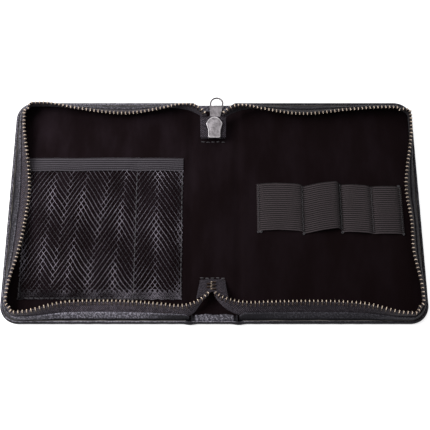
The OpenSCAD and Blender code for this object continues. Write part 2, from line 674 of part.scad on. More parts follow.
spine_cover();
spine_board();
spine_lining();
spine_edge_far();
spine_edge_near();
zip_tab_far();
zip_tab_near();
tab_stitches();
zip_chain_start();
zip_chain_end();
left_cover();
left_board();
left_lining();
left_binding();
left_gusset();
left_tape();
left_teeth();
left_tape_end_far();
left_tape_end_near();
left_end_teeth_far();
left_end_teeth_near();
pocket_net();
pocket_hem();
pocket_stitches();
right_cover();
right_board();
right_lining();
right_binding();
right_gusset();
right_tape();
right_teeth();
right_tape_end_far();
right_tape_end_near();
right_end_teeth_far();
right_end_teeth_near();
elastic_band();
elastic_stitches();
slider_body();
slider_bail();
pull_tab();
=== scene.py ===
"""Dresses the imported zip-round fountain pen case in leather, velvet, net, elastic and brass.

Shapes are worked out in millimetres and become metres when a mesh is made. X is right, Y away
and Z up, with the origin on the table under the middle of the spine. The left half is the
pattern for both: the right half is its mirror image with a lean of its own.
"""

from __future__ import annotations

import json
import logging
import math
from dataclasses import dataclass, field
from enum import Enum
from typing import Any, Sequence

import bmesh
import bpy
import numpy as np
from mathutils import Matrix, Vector

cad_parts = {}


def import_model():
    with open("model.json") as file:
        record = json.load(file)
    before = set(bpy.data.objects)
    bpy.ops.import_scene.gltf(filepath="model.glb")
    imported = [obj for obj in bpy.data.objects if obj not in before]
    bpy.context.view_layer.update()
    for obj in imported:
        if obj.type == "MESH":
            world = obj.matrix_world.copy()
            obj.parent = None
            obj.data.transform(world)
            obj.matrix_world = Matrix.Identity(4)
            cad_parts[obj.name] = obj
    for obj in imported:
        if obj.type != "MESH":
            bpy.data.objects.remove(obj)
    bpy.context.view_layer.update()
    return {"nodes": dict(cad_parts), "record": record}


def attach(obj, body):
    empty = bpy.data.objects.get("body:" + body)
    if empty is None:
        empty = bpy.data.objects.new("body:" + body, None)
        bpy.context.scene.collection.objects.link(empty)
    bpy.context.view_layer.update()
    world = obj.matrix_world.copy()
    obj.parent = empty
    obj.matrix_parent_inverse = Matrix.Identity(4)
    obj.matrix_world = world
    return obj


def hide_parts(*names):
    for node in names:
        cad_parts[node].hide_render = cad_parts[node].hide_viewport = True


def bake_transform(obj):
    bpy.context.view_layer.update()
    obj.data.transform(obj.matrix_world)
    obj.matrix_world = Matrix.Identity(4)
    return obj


Array = np.ndarray
Colour = tuple[float, float, float]
Finishes = dict[str, bpy.types.Material]
MM = 0.001
UP = np.array([0.0, 0.0, 1.0])
# Edges that turn by more than this many degrees are left sharp
COMMON_EDGE, SLIDER_EDGE, TAPE_EDGE, THREAD_EDGE = 50.0, 45.0, 70.0, 80.0
LOG = logging.getLogger("pen_case")


# ------------ numbers
def unit(vectors: Array) -> Array:
    """Vectors divided by their lengths."""
    return vectors / np.maximum(np.linalg.norm(vectors, axis=-1, keepdims=True), 1e-9)


def lengths_along(line: Array) -> Array:
    """Length from the start of a row of points to each of them."""
    return np.concatenate([[0.0], np.cumsum(np.linalg.norm(np.diff(line, axis=0), axis=1))])


def points_at(line: Array, lengths: Array) -> Array:
    """Points at the given lengths along a row of points, by straight steps between them."""
    known = lengths_along(line)
    return np.stack([np.interp(lengths, known, line[:, k]) for k in range(line.shape[1])], axis=1)


def evenly(line: Array, step: float) -> Array:
    """The line again, with points about step apart."""
    total = lengths_along(line)[-1]
    return points_at(line, np.linspace(0.0, total, max(3, round(total / step) + 1)))


def ease(share: Array) -> Array:
    """A rise from 0 to 1 that starts and ends level: 3 t^2 - 2 t^3."""
    t = np.clip(share, 0.0, 1.0)
    return t * t * (3 - 2 * t)


def arch(t: Array) -> Array:
    """A full arch over 0 to 1, steep at its feet: 1 - (2t - 1)^4."""
    return 1 - (2 * np.clip(t, 0.0, 1.0) - 1) ** 4


def bell(x: Array, middle: float, width: float) -> Array:
    """A bell of height 1 over its middle: exp(-((x - middle) / width)^2)."""
    return np.exp(-(((x - middle) / width) ** 2))


def hump(t: Array) -> Array:
    """The rise of a stitch over -1/2 to 1/2: 1 - (2t)^4."""
    return 1 - (2 * t) ** 4


def squarish(turn: Array, power: float) -> tuple[Array, Array]:
    """A circle drawn out towards a square: cos and sin to a power under 1, with their signs kept."""
    cos, sin = np.cos(turn), np.sin(turn)
    return np.sign(cos) * np.abs(cos) ** power, np.sign(sin) * np.abs(sin) ** power


def smoothed(line: Array, rounds: int) -> Array:
    """A row of points, each drawn halfway to the middle of its neighbours, a few times over."""
    for _ in range(rounds):
        line[1:-1] = 0.5 * line[1:-1] + 0.25 * (line[:-2] + line[2:])
    return line


def waves(x: Array, y: Array, sizes: Sequence[float], seed: int) -> Array:
    """Smooth irregular height of about -1 to 1 over a plane.

    Args:
        x: Places across, in millimetres.
        y: Places along, in millimetres.
        sizes: Length of each wave in millimetres, the strongest first.
        seed: Picks the directions and starts of the waves.

    Returns:
        The sum of sines, each in a direction of its own and half as strong as the one before.
    """
    draw = np.random.default_rng(seed)
    total = np.zeros(np.broadcast(x, y).shape)
    for order, size in enumerate(sizes):
        angle, start = draw.uniform(0, 2 * np.pi, 2)
        total = total + 0.5**order * np.sin(
            2 * np.pi * (x * np.cos(angle) + y * np.sin(angle)) / size + start
        )
    return total / sum(0.5**k for k in range(len(sizes)))


def bezier(corners: Array, t: Array) -> Array:
    """Points of the cubic curve with four corners, at shares t of its way."""
    t = t[:, None]
    a, b, c, d = corners
    return (1 - t) ** 3 * a + 3 * t * (1 - t) ** 2 * b + 3 * t**2 * (1 - t) * c + t**3 * d


# ------------ meshes
@dataclass
class Shell:
    """A surface before it is a mesh.

    points are in millimetres, faces are arrays of corner numbers with as many columns as a face
    has corners, and cloth gives each point's place on its own material: along, across, and a third
    number for wear and for painted highlight and shade.
    """

    points: Array
    faces: list[Array]
    cloth: Array

    def mirrored(self) -> "Shell":
        """The same shell on the other side of the spine."""
        return Shell(self.points * [-1, 1, 1], [f[:, ::-1] for f in self.faces], self.cloth)

    def moved(self, turn: Array, origin: Sequence[float]) -> "Shell":
        """The same shell, turned by a 3 x 3 frame and then moved to an origin."""
        return Shell(self.points @ turn.T + origin, self.faces, self.cloth)


def join(shells: Sequence[Shell]) -> Shell:
    """One shell that holds all the given ones.

    Args:
        shells: The shells, in order.

    Returns:
        The joined shell.
    """
    starts = np.cumsum([0] + [len(s.points) for s in shells[:-1]])
    faces = [f + start for s, start in zip(shells, starts) for f in s.faces]
    points, cloth = (np.concatenate(rows) for rows in zip(*((s.points, s.cloth) for s in shells)))
    return Shell(points, faces, cloth)


def grid_faces(rows: int, columns: int, round_rows: bool = False, round_columns: bool = False) -> Array:
    """Quads between neighbours of a grid of points, which may close on itself either way.

    Args:
        rows: Rows of points.
        columns: Points in a row.
        round_rows: Whether the last row joins the first.
        round_columns: Whether each row's last point joins its first.

    Returns:
        Four point numbers for each quad.
    """
    i = np.arange(rows if round_rows else rows - 1)[:, None]
    j = np.arange(columns if round_columns else columns - 1)[None, :]
    below, right = (i + 1) % rows, (j + 1) % columns
    corners = [i * columns + j, i * columns + right, below * columns + right, below * columns + j]
    return np.stack(np.broadcast_arrays(*corners), axis=-1).reshape(-1, 4)


def tube(rings: Array, cloth: Array, closed: bool = False) -> Shell:
    """A closed band through rings of points.

    Args:
        rings: Points, ring by ring, as rows x ring x 3.
        cloth: Places on the material, in the same order.
        closed: Whether the last ring joins the first; otherwise both ends are capped.

    Returns:
        The shell, with one face over each open end.
    """
    rows, count = rings.shape[:2]
    faces = [grid_faces(rows, count, closed, True)]
    if not closed:
        faces += [np.arange(count)[None, ::-1], (np.arange(count) + (rows - 1) * count)[None]]
    return Shell(rings.reshape(-1, 3), faces, cloth.reshape(-1, 3))


def slab(upper: Array, lower: Array, cloth: Array) -> Shell:
    """A closed sheet between an upper and a lower grid of points, with a rim round both.

    Args:
        upper: Points of the upper face, as rows x columns x 3.
        lower: Points of the lower face.
        cloth: Places on the material, the same for both.

    Returns:
        The closed shell.
    """
    rows, count = upper.shape[:2]
    size = rows * count
    number = np.arange(size).reshape(rows, count)
    rim = np.concatenate([number[0, :-1], number[:-1, -1], number[-1, :0:-1], number[:0:-1, 0]])
    after = np.roll(rim, -1)
    faces = [
        grid_faces(rows, count),
        grid_faces(rows, count)[:, ::-1] + size,
        np.stack([after, rim, rim + size, after + size], axis=1),
    ]
    points = np.concatenate([upper.reshape(-1, 3), lower.reshape(-1, 3)])
    return Shell(points, faces, np.concatenate([cloth.reshape(-1, 3)] * 2))


def draped(x: Array, y: Array, top: Array, base: Array, cloth: Sequence[Array]) -> Shell:
    """A closed sheet over a grid of places, from a lower height to an upper one.

    Args:
        x: Places across, in millimetres.
        y: Places along, in millimetres.
        top: Height of the upper face.
        base: Height of the lower face.
        cloth: Along, across and wear on the material.

    Returns:
        The closed shell.
    """
    grids = ((x, y, top), (x, y, base), cloth)
    return slab(*(np.stack(np.broadcast_arrays(*grid), axis=-1) for grid in grids))


def sweep(base: Array, across: Array, up: Array, profile: Array) -> Array:
    """Rings of a profile carried along a path: base + across x + up y for each of its points."""
    x, y = profile[..., 0, None], profile[..., 1, None]
    return base[:, None] + across[:, None] * x + up[:, None] * y


def swept_cloth(rings: Array, along: Array, across: Array) -> Array:
    """Cloth places of swept rings: length along the path, place across it, and no wear or painted light yet.

    Args:
        rings: The swept points.
        along: A length for each ring.
        across: A place for each point of a ring.

    Returns:
        Cloth places for every point.
    """
    cloth = np.zeros(rings.shape)
    cloth[..., 0] = along[:, None]
    cloth[..., 1] = across
    return cloth


def strands(lines: Array, radius: float | Array, sides: int) -> Shell:
    """Round threads along many lines at once, on cloth that lies level.

    Args:
        lines: Points, thread by thread, as threads x points x 3.
        radius: Radius of the threads in millimetres, one number or one for each point.
        sides: Number of flats round a thread.

    Returns:
        One shell with a capped tube for each line.
    """
    way = unit(np.gradient(lines, axis=1))
    side = unit(np.cross(way, UP))
    out = np.cross(side, way)
    turn = 2 * np.pi * np.arange(sides) / sides
    thick = np.broadcast_to(radius, lines.shape[:2])[..., None]
    ring = np.cos(turn)[:, None] * side[:, :, None] + np.sin(turn)[:, None] * out[:, :, None]
    ring = thick[..., None] * ring
    points = lines[:, :, None] + ring
    count, steps = lines.shape[:2]
    each = steps * sides
    starts = (np.arange(count) * each)[:, None, None]
    quads = (grid_faces(steps, sides, False, True)[None] + starts).reshape(-1, 4)
    cap = np.arange(sides)[None, None]
    caps = [corners.reshape(-1, sides) for corners in (cap[..., ::-1] + starts, cap + starts + each - sides)]
    far = np.cumsum(np.linalg.norm(np.diff(lines, axis=1, prepend=lines[:, :1]), axis=2), axis=1)
    cloth = np.zeros(points.shape)
    cloth[..., 0] = far[..., None]
    cloth[..., 1] = turn * thick
    return Shell(points.reshape(-1, 3), [quads, *caps], cloth.reshape(-1, 3))


def copies(template: Shell, origins: Array, frames: Array) -> Shell:
    """Copies of a template, each turned by its own 3 x 3 frame and set at its own origin.

    Args:
        template: The shell to repeat.
        origins: A place for each copy.
        frames: A frame for each copy.

    Returns:
        One shell with all the copies.
    """
    count, size = len(origins), len(template.points)
    points = np.einsum("nij,kj->nki", frames, template.points) + origins[:, None]
    starts = (np.arange(count) * size)[:, None, None]
    faces = [(f[None] + starts).reshape(-1, f.shape[1]) for f in template.faces]
    return Shell(points.reshape(-1, 3), faces, np.tile(template.cloth, (count, 1)))


def make_piece(
    name: str, shell: Shell, material: bpy.types.Material, sharp: float
) -> bpy.types.Object:
    """Makes a mesh object of a shell, at the origin, with its faces outwards.

    Args:
        name: The piece's name.
        shell: Points in millimetres, faces and cloth places.
        material: The finish.
        sharp: Edges that turn by more than this many degrees are left sharp.

    Returns:
        The new object, in the scene's collection.
    """
    mesh = bpy.data.meshes.new(name)
    faces = [corners for block in shell.faces for corners in block.tolist()]
    mesh.from_pydata((shell.points * MM).tolist(), [], faces)
    place = mesh.attributes.new("cloth", "FLOAT_VECTOR", "POINT")
    place.data.foreach_set("vector", shell.cloth.astype(np.float32).ravel())
    work = bmesh.new()
    work.from_mesh(mesh)
    bmesh.ops.recalc_face_normals(work, faces=work.faces)
    work.to_mesh(mesh)
    work.free()
    mesh.shade_smooth()
    mesh.set_sharp_from_angle(angle=math.radians(sharp))
    mesh.materials.append(material)
    piece = bpy.data.objects.new(name, mesh)
    bpy.context.scene.collection.objects.link(piece)
    LOG.info("%s: %d faces", name, len(mesh.polygons))
    return piece


# ------------ shader maths
class Wire:
    """A shader value; arithmetic on it adds Math nodes to its graph."""

    def __init__(self, graph: "Graph", socket: bpy.types.NodeSocket) -> None:
        """Wraps one output socket."""
        self.graph = graph
        self.socket = socket

    def __add__(self, other: Any) -> "Wire":
        """Sum."""
        return self.graph.math("ADD", self, other)

    def __sub__(self, other: Any) -> "Wire":
        """Difference."""
        return self.graph.math("SUBTRACT", self, other)

    def __rsub__(self, other: Any) -> "Wire":
        """Difference from a number."""
        return self.graph.math("SUBTRACT", other, self)

    def __mul__(self, other: Any) -> "Wire":
        """Product."""
        return self.graph.math("MULTIPLY", self, other)

    __radd__ = __add__


class Graph:
    """The node tree of a material or of the world, filled node by node."""

    def __init__(self, owner: bpy.types.Material | bpy.types.World) -> None:
        """Empties the owner's tree.

        Args:
            owner: The material or world that the tree belongs to.
        """
        self.owner = owner
        owner.use_nodes = True
        self.tree = owner.node_tree
        self.tree.nodes.clear()

    @classmethod
    def of_material(cls, name: str) -> "Graph":
        """The graph of a new material."""
        return cls(bpy.data.materials.new(name))

    def node(self, kind: str, settings: dict[str, Any], inputs: dict[Any, Any]) -> bpy.types.Node:
        """Adds any node.

        Args:
            kind: The node's type.
            settings: Its own settings.
            inputs: Values, wires or sockets, by socket name or number.

        Returns:
            The node.
        """
        made = self.tree.nodes.new(kind)
        for key, value in settings.items():
            setattr(made, key, value)
        for key, value in inputs.items():
            if isinstance(value, Wire):
                value = value.socket
            if isinstance(value, bpy.types.NodeSocket):
                self.tree.links.new(value, made.inputs[key])
            else:
                made.inputs[key].default_value = value
        return made

    def math(self, operation: str, *values: Any, clamp: bool = False) -> Wire:
        """A Math node on up to three values."""
        settings = {"operation": operation, "use_clamp": clamp}
        return Wire(self, self.node("ShaderNodeMath", settings, dict(enumerate(values))).outputs[0])

    def wave(self, value: Wire, length: float) -> Wire:
        """A sine wave from 0 to 1 that comes round every length millimetres."""
        return self.math("SINE", value * (2 * math.pi / length)) * 0.5 + 0.5

    def step(self, value: Any, low: float, high: float) -> Wire:
        """A smooth step from 0 at low to 1 at high."""
        settings = {"interpolation_type": "SMOOTHSTEP"}
        made = self.node("ShaderNodeMapRange", settings, {0: value, 1: low, 2: high, 3: 0.0, 4: 1.0})
        return Wire(self, made.outputs[0])

    def place(self) -> Wire:
        """Object coordinates in millimetres."""
        made = self.node("ShaderNodeTexCoord", {}, {})
        inputs = {0: made.outputs["Object"], "Scale": 1 / MM}
        return Wire(self, self.node("ShaderNodeVectorMath", {"operation": "SCALE"}, inputs).outputs[0])

    def cloth(self) -> Wire:
        """The piece's own cloth places: along and across in millimetres, and wear and painted highlight and
        shade.
        """
        made = self.node("ShaderNodeAttribute", {"attribute_name": "cloth"}, {})
        return Wire(self, made.outputs["Vector"])

    def parts(self, vector: Wire) -> tuple[Wire, Wire, Wire]:
        """The three numbers of a vector."""
        made = self.node("ShaderNodeSeparateXYZ", {}, {0: vector})
        return Wire(self, made.outputs[0]), Wire(self, made.outputs[1]), Wire(self, made.outputs[2])

    def stretched(self, vector: Wire, scale: tuple[float, float, float], turn: float = 0.0) -> Wire:
        """A vector turned about Z and scaled, so that a pattern is longer one way."""
        inputs = {"Vector": vector, "Rotation": (0.0, 0.0, turn), "Scale": scale}
        return Wire(self, self.node("ShaderNodeMapping", {}, inputs).outputs[0])

    def noise(self, vector: Wire, size: float, detail: float = 3.0, roughness: float = 0.55) -> Wire:
        """Cloudy noise from 0 to 1, with blots about size millimetres across."""
        inputs = {"Vector": vector, "Scale": 1.0 / size, "Detail": detail, "Roughness": roughness}
        return Wire(self, self.node("ShaderNodeTexNoise", {}, inputs).outputs[0])

    def cells(self, vector: Wire, size: float, feature: str = "F1") -> Wire:
        """Distance in a field of cells about size millimetres across."""
        inputs = {"Vector": vector, "Scale": 1.0 / size}
        made = self.node("ShaderNodeTexVoronoi", {"feature": feature}, inputs)
        return Wire(self, made.outputs["Distance"])

    def blend(self, share: Any, first: Any, second: Any) -> Wire:
        """A mix of two colours."""
        first, second = [(*c, 1.0) if isinstance(c, tuple) else c for c in (first, second)]
        made = self.node("ShaderNodeMix", {"data_type": "RGBA"}, {0: share, 6: first, 7: second})
        return Wire(self, made.outputs[2])

    def bump(self, height: Any, depth: float, strength: float = 1.0, under: Any = None) -> Wire:
        """A bump of a height from 0 to 1 that is depth millimetres deep, over another bump if given.

        Args:
            height: Height from 0 to 1.
            depth: Its depth in millimetres.
            strength: How strongly it shows.
            under: A bump that lies under it.

        Returns:
            The bent normal.
        """
        inputs = {"Height": height, "Distance": depth * MM, "Strength": strength}
        if under is not None:
            inputs["Normal"] = under
        return Wire(self, self.node("ShaderNodeBump", {}, inputs).outputs[0])

    def surface(
        self, base: Any, rough: Any, normal: Any, others: dict[str, Any]
    ) -> bpy.types.Material:
        """Ends the graph in a Principled surface.

        Args:
            base: The colour.
            rough: The roughness.
            normal: The bump.
            others: Whatever else the surface has, by the shader's own names.

        Returns:
            The finished material.
        """
        inputs = {"Base Color": base, "Roughness": rough, "Normal": normal, **others}
        shader = self.node("ShaderNodeBsdfPrincipled", {}, inputs)
        self.node("ShaderNodeOutputMaterial", {}, {0: shader.outputs[0]})
        return self.owner


# ------------ finishes
@dataclass(frozen=True)
class Leather:
    """Black pebbled cover leather with rubbed high spots and painted glints and highlights, painted darker
    towards the right half as shade.
    """

    name: str = "cover_leather"
    hide: Colour = (0.0075, 0.0066, 0.0090)
    # colour of rubbed leather and of the painted glints and highlights
    rubbed: Colour = (0.36, 0.34, 0.40)
    pebble: float = 1.25
    grain_depth: float = 0.22

    def material(self) -> bpy.types.Material:
        """Pebbles from the distance to the edges of cells, fine pores, and a shine that varies.

        Returns:
            The material.
        """
        g = Graph.of_material(self.name)
        place = g.place()
        wobble = g.noise(place, 3.0, 2.0)
        pebbles = g.step(g.cells(place, self.pebble, "DISTANCE_TO_EDGE"), 0.0, 0.30)
        pores = g.noise(place, 0.35, 3.0, 0.6)
        grain = g.noise(place, 0.95, 2.0, 0.6)
        height = pebbles * (0.45 + wobble * 0.5) + pores * 0.2 + grain * 0.8
        # Painted light: grain glints and the highlights in the cloth places get the lighter colour, kept off
        # the leather near the spine, and all is painted darker towards the right as shade
        across, _, _ = g.parts(place)
        highlights_off_spine = g.step(g.math("ABSOLUTE", across), 18.0, 52.0)
        painted_light_level = 1 - g.step(across, -8.0, 42.0) * 0.84
        rub_and_painted_light = g.parts(g.cloth())[2]
        painted_glints = g.step(grain, 0.46, 0.62)
        cloudy = g.noise(place, 11.0, 3.0)
        painted_glint_spots = painted_glints * ((0.02 + cloudy * 0.22) * highlights_off_spine + rub_and_painted_light * 0.72)
        wear_and_painted_light = g.math("MULTIPLY", painted_glint_spots + rub_and_painted_light * 0.22 + pebbles * 0.02, painted_light_level, clamp=True)
        base = g.blend(wear_and_painted_light, self.hide, self.rubbed)
        rough = 0.44 - painted_glints * 0.12 + wobble * 0.16
        return g.surface(
            base, rough, g.bump(height, self.grain_depth, 1.0), {"Specular IOR Level": 0.12}
        )


@dataclass(frozen=True)
class Velvet:
    """Short black pile with patches brushed one way or the other."""

    name: str = "velvet_lining"
    deep: Colour = (0.0043, 0.0019, 0.0020)
    brushed: Colour = (0.0168, 0.0110, 0.0142)
    sheen: Colour = (0.9, 0.62, 0.70)

    def material(self) -> bpy.types.Material:
        """Brushed patches along the pile, fine fibres, and a little sheen.

        Returns:
            The material.
        """
        g = Graph.of_material(self.name)
        place = g.place()
        patches = g.noise(g.stretched(place, (1.0, 0.35, 1.0)), 16.0, 4.0, 0.6)
        fibres = g.noise(place, 0.45, 2.0, 0.7)
        across, along, _ = g.parts(place)
        # Painted shade: the velvet is painted darker towards the right and towards the near side, as the
        # light falls off
        painted_falloff = (1 - g.step(across, -80.0, 60.0) * 0.45) * (0.72 + g.step(along, -60.0, 50.0) * 0.36)
        share = (g.step(patches, 0.35, 0.75) * 0.6 + fibres * 0.4) * painted_falloff
        base = g.blend(share, self.deep, self.brushed)
        return g.surface(
            base,
            0.86 + fibres * 0.14,
            g.bump(fibres, 0.12, 0.5),
            {
                "Sheen Weight": 0.05,
                "Sheen Roughness": 0.45,
                "Sheen Tint": (*self.sheen, 1.0),
                "Specular IOR Level": 0.03,
            },
        )


@dataclass(frozen=True)
class ZipTape:
    """Woven zip tape in a herringbone."""

    name: str = "zip_tape"
    ground: Colour = (0.0075, 0.0060, 0.0080)
    thread: Colour = (0.155, 0.130, 0.160)
    fleck: Colour = (0.110, 0.065, 0.055)
    twill: float = 1.3
    band: float = 3.4

    def material(self) -> bpy.types.Material:
        """Slanting ribs that turn back at each band across the tape.

        Returns:
            The material.
        """
        g = Graph.of_material(self.name)
        along, across, shade = g.parts(g.cloth())
        zigzag = g.math("PINGPONG", across, self.band)
        wave = g.wave(along + zigzag, self.twill)
        lint = g.noise(g.place(), 0.5, 3.0, 0.7)
        across_case, along_case, _ = g.parts(g.place())
        # Painted shade: the tape is painted darker towards the right and away from the near run, as the
        # light falls off
        painted_falloff = g.step(across_case, -30.0, 50.0) * 0.62
        painted_light_level = 1 - painted_falloff - g.step(along_case, -60.0, -35.0) * 0.30
        ribs = g.step(wave * 1.1 + lint * 0.5, 0.45, 1.15)
        share = ribs * g.math("MAXIMUM", painted_light_level, 0.12) * (1 - shade)
        flecks = g.step(g.noise(g.place(), 1.7, 2.0, 0.7), 0.56, 0.72) * 0.6
        mottled = g.step(g.noise(g.place(), 1.2, 3.0, 0.75), 0.36, 0.66)
        woven = g.blend(share * (0.25 + mottled), self.ground, self.thread)
        return g.surface(
            g.blend(flecks * share, woven, self.fleck),
            0.78 + lint * 0.12,
            g.bump(wave * 0.8 + lint * 0.3, 0.16, 0.8),
            {"Sheen Weight": 0.08, "Sheen Roughness": 0.5, "Specular IOR Level": 0.12},
        )


@dataclass(frozen=True)
class Brass:
    """Antique brass that is dark in its hollows and rubbed bright on the heads."""

    name: str = "zip_brass"
    aged: Colour = (0.030, 0.017, 0.013)
    bright: Colour = (0.50, 0.410, 0.330)

    def material(self) -> bpy.types.Material:
        """Wear and painted shade from the cloth places, broken up by spots of tarnish.

        Returns:
            The material.
        """
        g = Graph.of_material(self.name)
        wear_and_painted_light = g.parts(g.cloth())[2]
        place = g.place()
        tarnish = g.noise(place, 1.1, 4.0, 0.65)
        share = g.step(wear_and_painted_light + tarnish * 0.8, 0.50, 1.40)
        return g.surface(
            g.blend(share, self.aged, self.bright),
            0.52 - share * 0.2 + tarnish * 0.12,
            g.bump(tarnish, 0.06, 0.6),
            {"Metallic": 0.75 + share * 0.25, "Specular IOR Level": 0.5},
        )


@dataclass(frozen=True)
class Thread:
    """Twisted thread that the seams are sewn with."""

    name: str
    shade: Colour
    light: Colour
    twist: float = 0.5
    roughness: float = 0.45

    def material(self) -> bpy.types.Material:
        """Slanting plies round the thread, with lint.

        Returns:
            The material.
        """
        g = Graph.of_material(self.name)
        along, across, dim = g.parts(g.cloth())
        ply = g.wave(along + across * 1.4, self.twist)
        lint = g.noise(g.place(), 1.6, 3.0, 0.6)
        share = g.step(ply * 0.5 + lint * 0.7, 0.2, 1.0) * (1 - dim)
        return g.surface(
            g.blend(share, self.shade, self.light),
            self.roughness + lint * 0.2,
            g.bump(ply, 0.08, 0.6),
            {"Specular IOR Level": 0.5, "Sheen Weight": 0.1},
        )


@dataclass(frozen=True)
class NetThread:
    """Knitted net: dark filaments with painted highlights on the crests, hollows and one flank of each fold.
    """

    name: str = "pocket_net"
    slack: Colour = (0.010, 0.0085, 0.0105)
    tight: Colour = (0.54, 0.49, 0.575)
    knot: float = 1.9

    def material(self) -> bpy.types.Material:
        """Painted highlights from the cloth places, broken up by the knots of the knitting.

        Returns:
            The material.
        """
        g = Graph.of_material(self.name)
        along, _, painted_highlight_share = g.parts(g.cloth())
        knots = g.wave(along, self.knot)
        lint = g.noise(g.place(), 0.8, 2.0, 0.7)
        share = g.step(painted_highlight_share * 0.8 + knots * 0.15 + lint * 0.6, 0.50, 1.35)
        return g.surface(
            g.blend(share, self.slack, self.tight),
            0.40 + lint * 0.25,
            g.bump(knots, 0.05, 0.5),
            {"Specular IOR Level": 0.25},
        )


@dataclass(frozen=True)
class Webbing:
    """Ribbed woven band, for the pocket's hem and the pen loops."""

    name: str
    ground: Colour
    rib: Colour
    pitch: float
    cross: float = 0.55
    ticks: float = 0.0

    def material(self) -> bpy.types.Material:
        """Ribs along the band, crossed by fine picks, with lint, faded patches and dark stitches, and wear
        and painted shade from the cloth places.

        Returns:
            The material.
        """
        g = Graph.of_material(self.name)
        along, across, worn_and_painted_light = g.parts(g.cloth())
        ribs = g.wave(across, self.pitch)
        picks = g.wave(along, self.cross)
        place = g.place()
        lint = g.noise(place, 0.6, 3.0, 0.7)
        faded = g.noise(place, 12.0, 3.0)
        weave = ribs * 0.66 + picks * 0.12 + lint * 0.30
        woven = g.step(weave, 0.40, 0.92) * (0.75 + faded * 0.5)
        share = g.math("ADD", woven, worn_and_painted_light * 0.4, clamp=True)
        if self.ticks:
            row = g.step(across, 0.7, 1.1) * (1 - g.step(across, 1.7, 2.1))
            stitch = g.step(g.math("SINE", along * (2 * math.pi / self.ticks)), 0.1, 0.7)
            share = share * (1 - row * stitch * 0.85)
        return g.surface(
            g.blend(share, self.ground, self.rib),
            0.82 + lint * 0.12,
            g.bump(weave, 0.18, 0.8),
            {"Sheen Weight": 0.08, "Sheen Roughness": 0.5, "Specular IOR Level": 0.12},
        )


@dataclass(frozen=True)
class Nickel:
    """Satin cast nickel of the slider and pull, dulled by handling."""

    name: str = "slider_nickel"
    dull: Colour = (0.125, 0.114, 0.120)
    clean: Colour = (0.285, 0.265, 0.280)
    # colour of rubbed nickel and of the painted rim highlights
    rubbed: Colour = (0.52, 0.495, 0.51)

    def material(self) -> bpy.types.Material:
        """Cloudy tarnish, fine scratches along the pull and small casting pits, with rubbing and painted rim
        highlights from the cloth places.

        Returns:
            The material.
        """
        g = Graph.of_material(self.name)
        place = g.place()
        cloud = g.noise(place, 2.6, 4.0, 0.6)
        scratches = g.noise(g.stretched(place, (5.0, 0.6, 1.0), 0.4), 1.0, 3.0, 0.7)
        wear_and_painted_light = g.parts(g.cloth())[2]
        share = g.step(cloud * 0.7 + scratches * 0.6, 0.50, 0.82)
        share = share * g.math("ADD", wear_and_painted_light, 1.0, clamp=True)
        worn_and_painted_light = g.step(wear_and_painted_light + scratches * 0.5, 0.45, 1.2)
        return g.surface(
            g.blend(worn_and_painted_light, g.blend(share, self.dull, self.clean), self.rubbed),
            0.50 - share * 0.12 + scratches * 0.1,
            g.bump(scratches * 0.6 + cloud, 0.05, 0.5),
            {"Metallic": 0.92 + share * 0.08, "Specular IOR Level": 0.5},
        )


@dataclass(frozen=True)
class Board:
    """Grey pressed board inside the cover."""

    name: str = "stiff_board"
    pulp: Colour = (0.16, 0.145, 0.125)
    fibre: Colour = (0.26, 0.24, 0.21)

    def material(self) -> bpy.types.Material:
        """Flecks of fibre in pulp.

        Returns:
            The material.
        """
        g = Graph.of_material(self.name)
        flecks = g.noise(g.stretched(g.place(), (1.0, 3.0, 1.0)), 1.5, 4.0, 0.7)
        return g.surface(
            g.blend(flecks, self.pulp, self.fibre),
            0.9 + flecks * 0.1,
            g.bump(flecks, 0.1, 0.5),
            {"Specular IOR Level": 0.2},
        )


def all_finishes() -> Finishes:
    """Makes every finish of the case once, by the material slot that it belongs to.

    Returns:
        The materials, by slot.
    """
    kinds = (
        Leather(),
        Velvet(),
        ZipTape(),
        Brass(),
        NetThread(),
        Webbing("pocket_hem", (0.020, 0.017, 0.021), (0.096, 0.086, 0.098), 1.5, ticks=1.25),
        Thread("sewing_thread", (0.020, 0.018, 0.021), (0.085, 0.080, 0.088)),
        Webbing("ribbed_elastic", (0.0030, 0.0022, 0.0025), (0.092, 0.073, 0.078), 1.39),
        Nickel(),
        Board(),
    )
    return {kind.name: kind.material() for kind in kinds}


# ------------ the case's own sizes
class Half(Enum):
    """The two halves of the open case, with the sign of their X."""

    LEFT = -1
    RIGHT = 1

    @property
    def label(self) -> str:
        """The half's name in pieces and bodies."""
        return self.name.lower()

    @property
    def body(self) -> str:
        """The CAD body that the half's pieces ride on."""
        return f"{self.label}_half"

    def place(self, shell: Shell) -> Shell:
        """A shell made for the left half, put on this half."""
        return shell if self is Half.LEFT else shell.mirrored()


@dataclass(frozen=True)
class CaseSizes:
    """Sizes that the pieces share, in millimetres, as the solids have them."""

    open_w: float = 268.0
    depth: float = 151.0
    spine_w: float = 30.0
    corner_r: float = 12.0
    skin_t: float = 1.2
    lining_z: float = 2.4
    floor_z: float = 3.2
    wall_in: float = 2.15
    wall_z: float = 2.4
    tape_low: float = 4.6
    tape_w: float = 6.8
    tape_t: float = 0.7
    tape_deep: float = 1.15
    zip_free: float = 15.0
    tooth_pitch: float = 2.6
    slider_y: float = 53.9
    slider_z: float = 8.9
    slider_l: float = 14.5
    slider_tilt: float = 8.0

    @property
    def crease_x(self) -> float:
        """Distance of a crease from the middle of the spine."""
        return self.spine_w / 2

    @property
    def run_l(self) -> float:
        """Length of the straight near or far edge of a half."""
        return self.open_w / 2 - self.crease_x - self.corner_r

    @property
    def side_l(self) -> float:
        """Length of the straight side edge."""
        return self.depth - 2 * self.corner_r

    @property
    def tilt(self) -> float:
        """Slope of the slider and of the tab under it, in radians."""
        return math.radians(self.slider_tilt)

    @property
    def tape_top(self) -> float:
        """Height of the tape's corded edge along the wall's slope."""
        return self.tape_low + self.tape_w


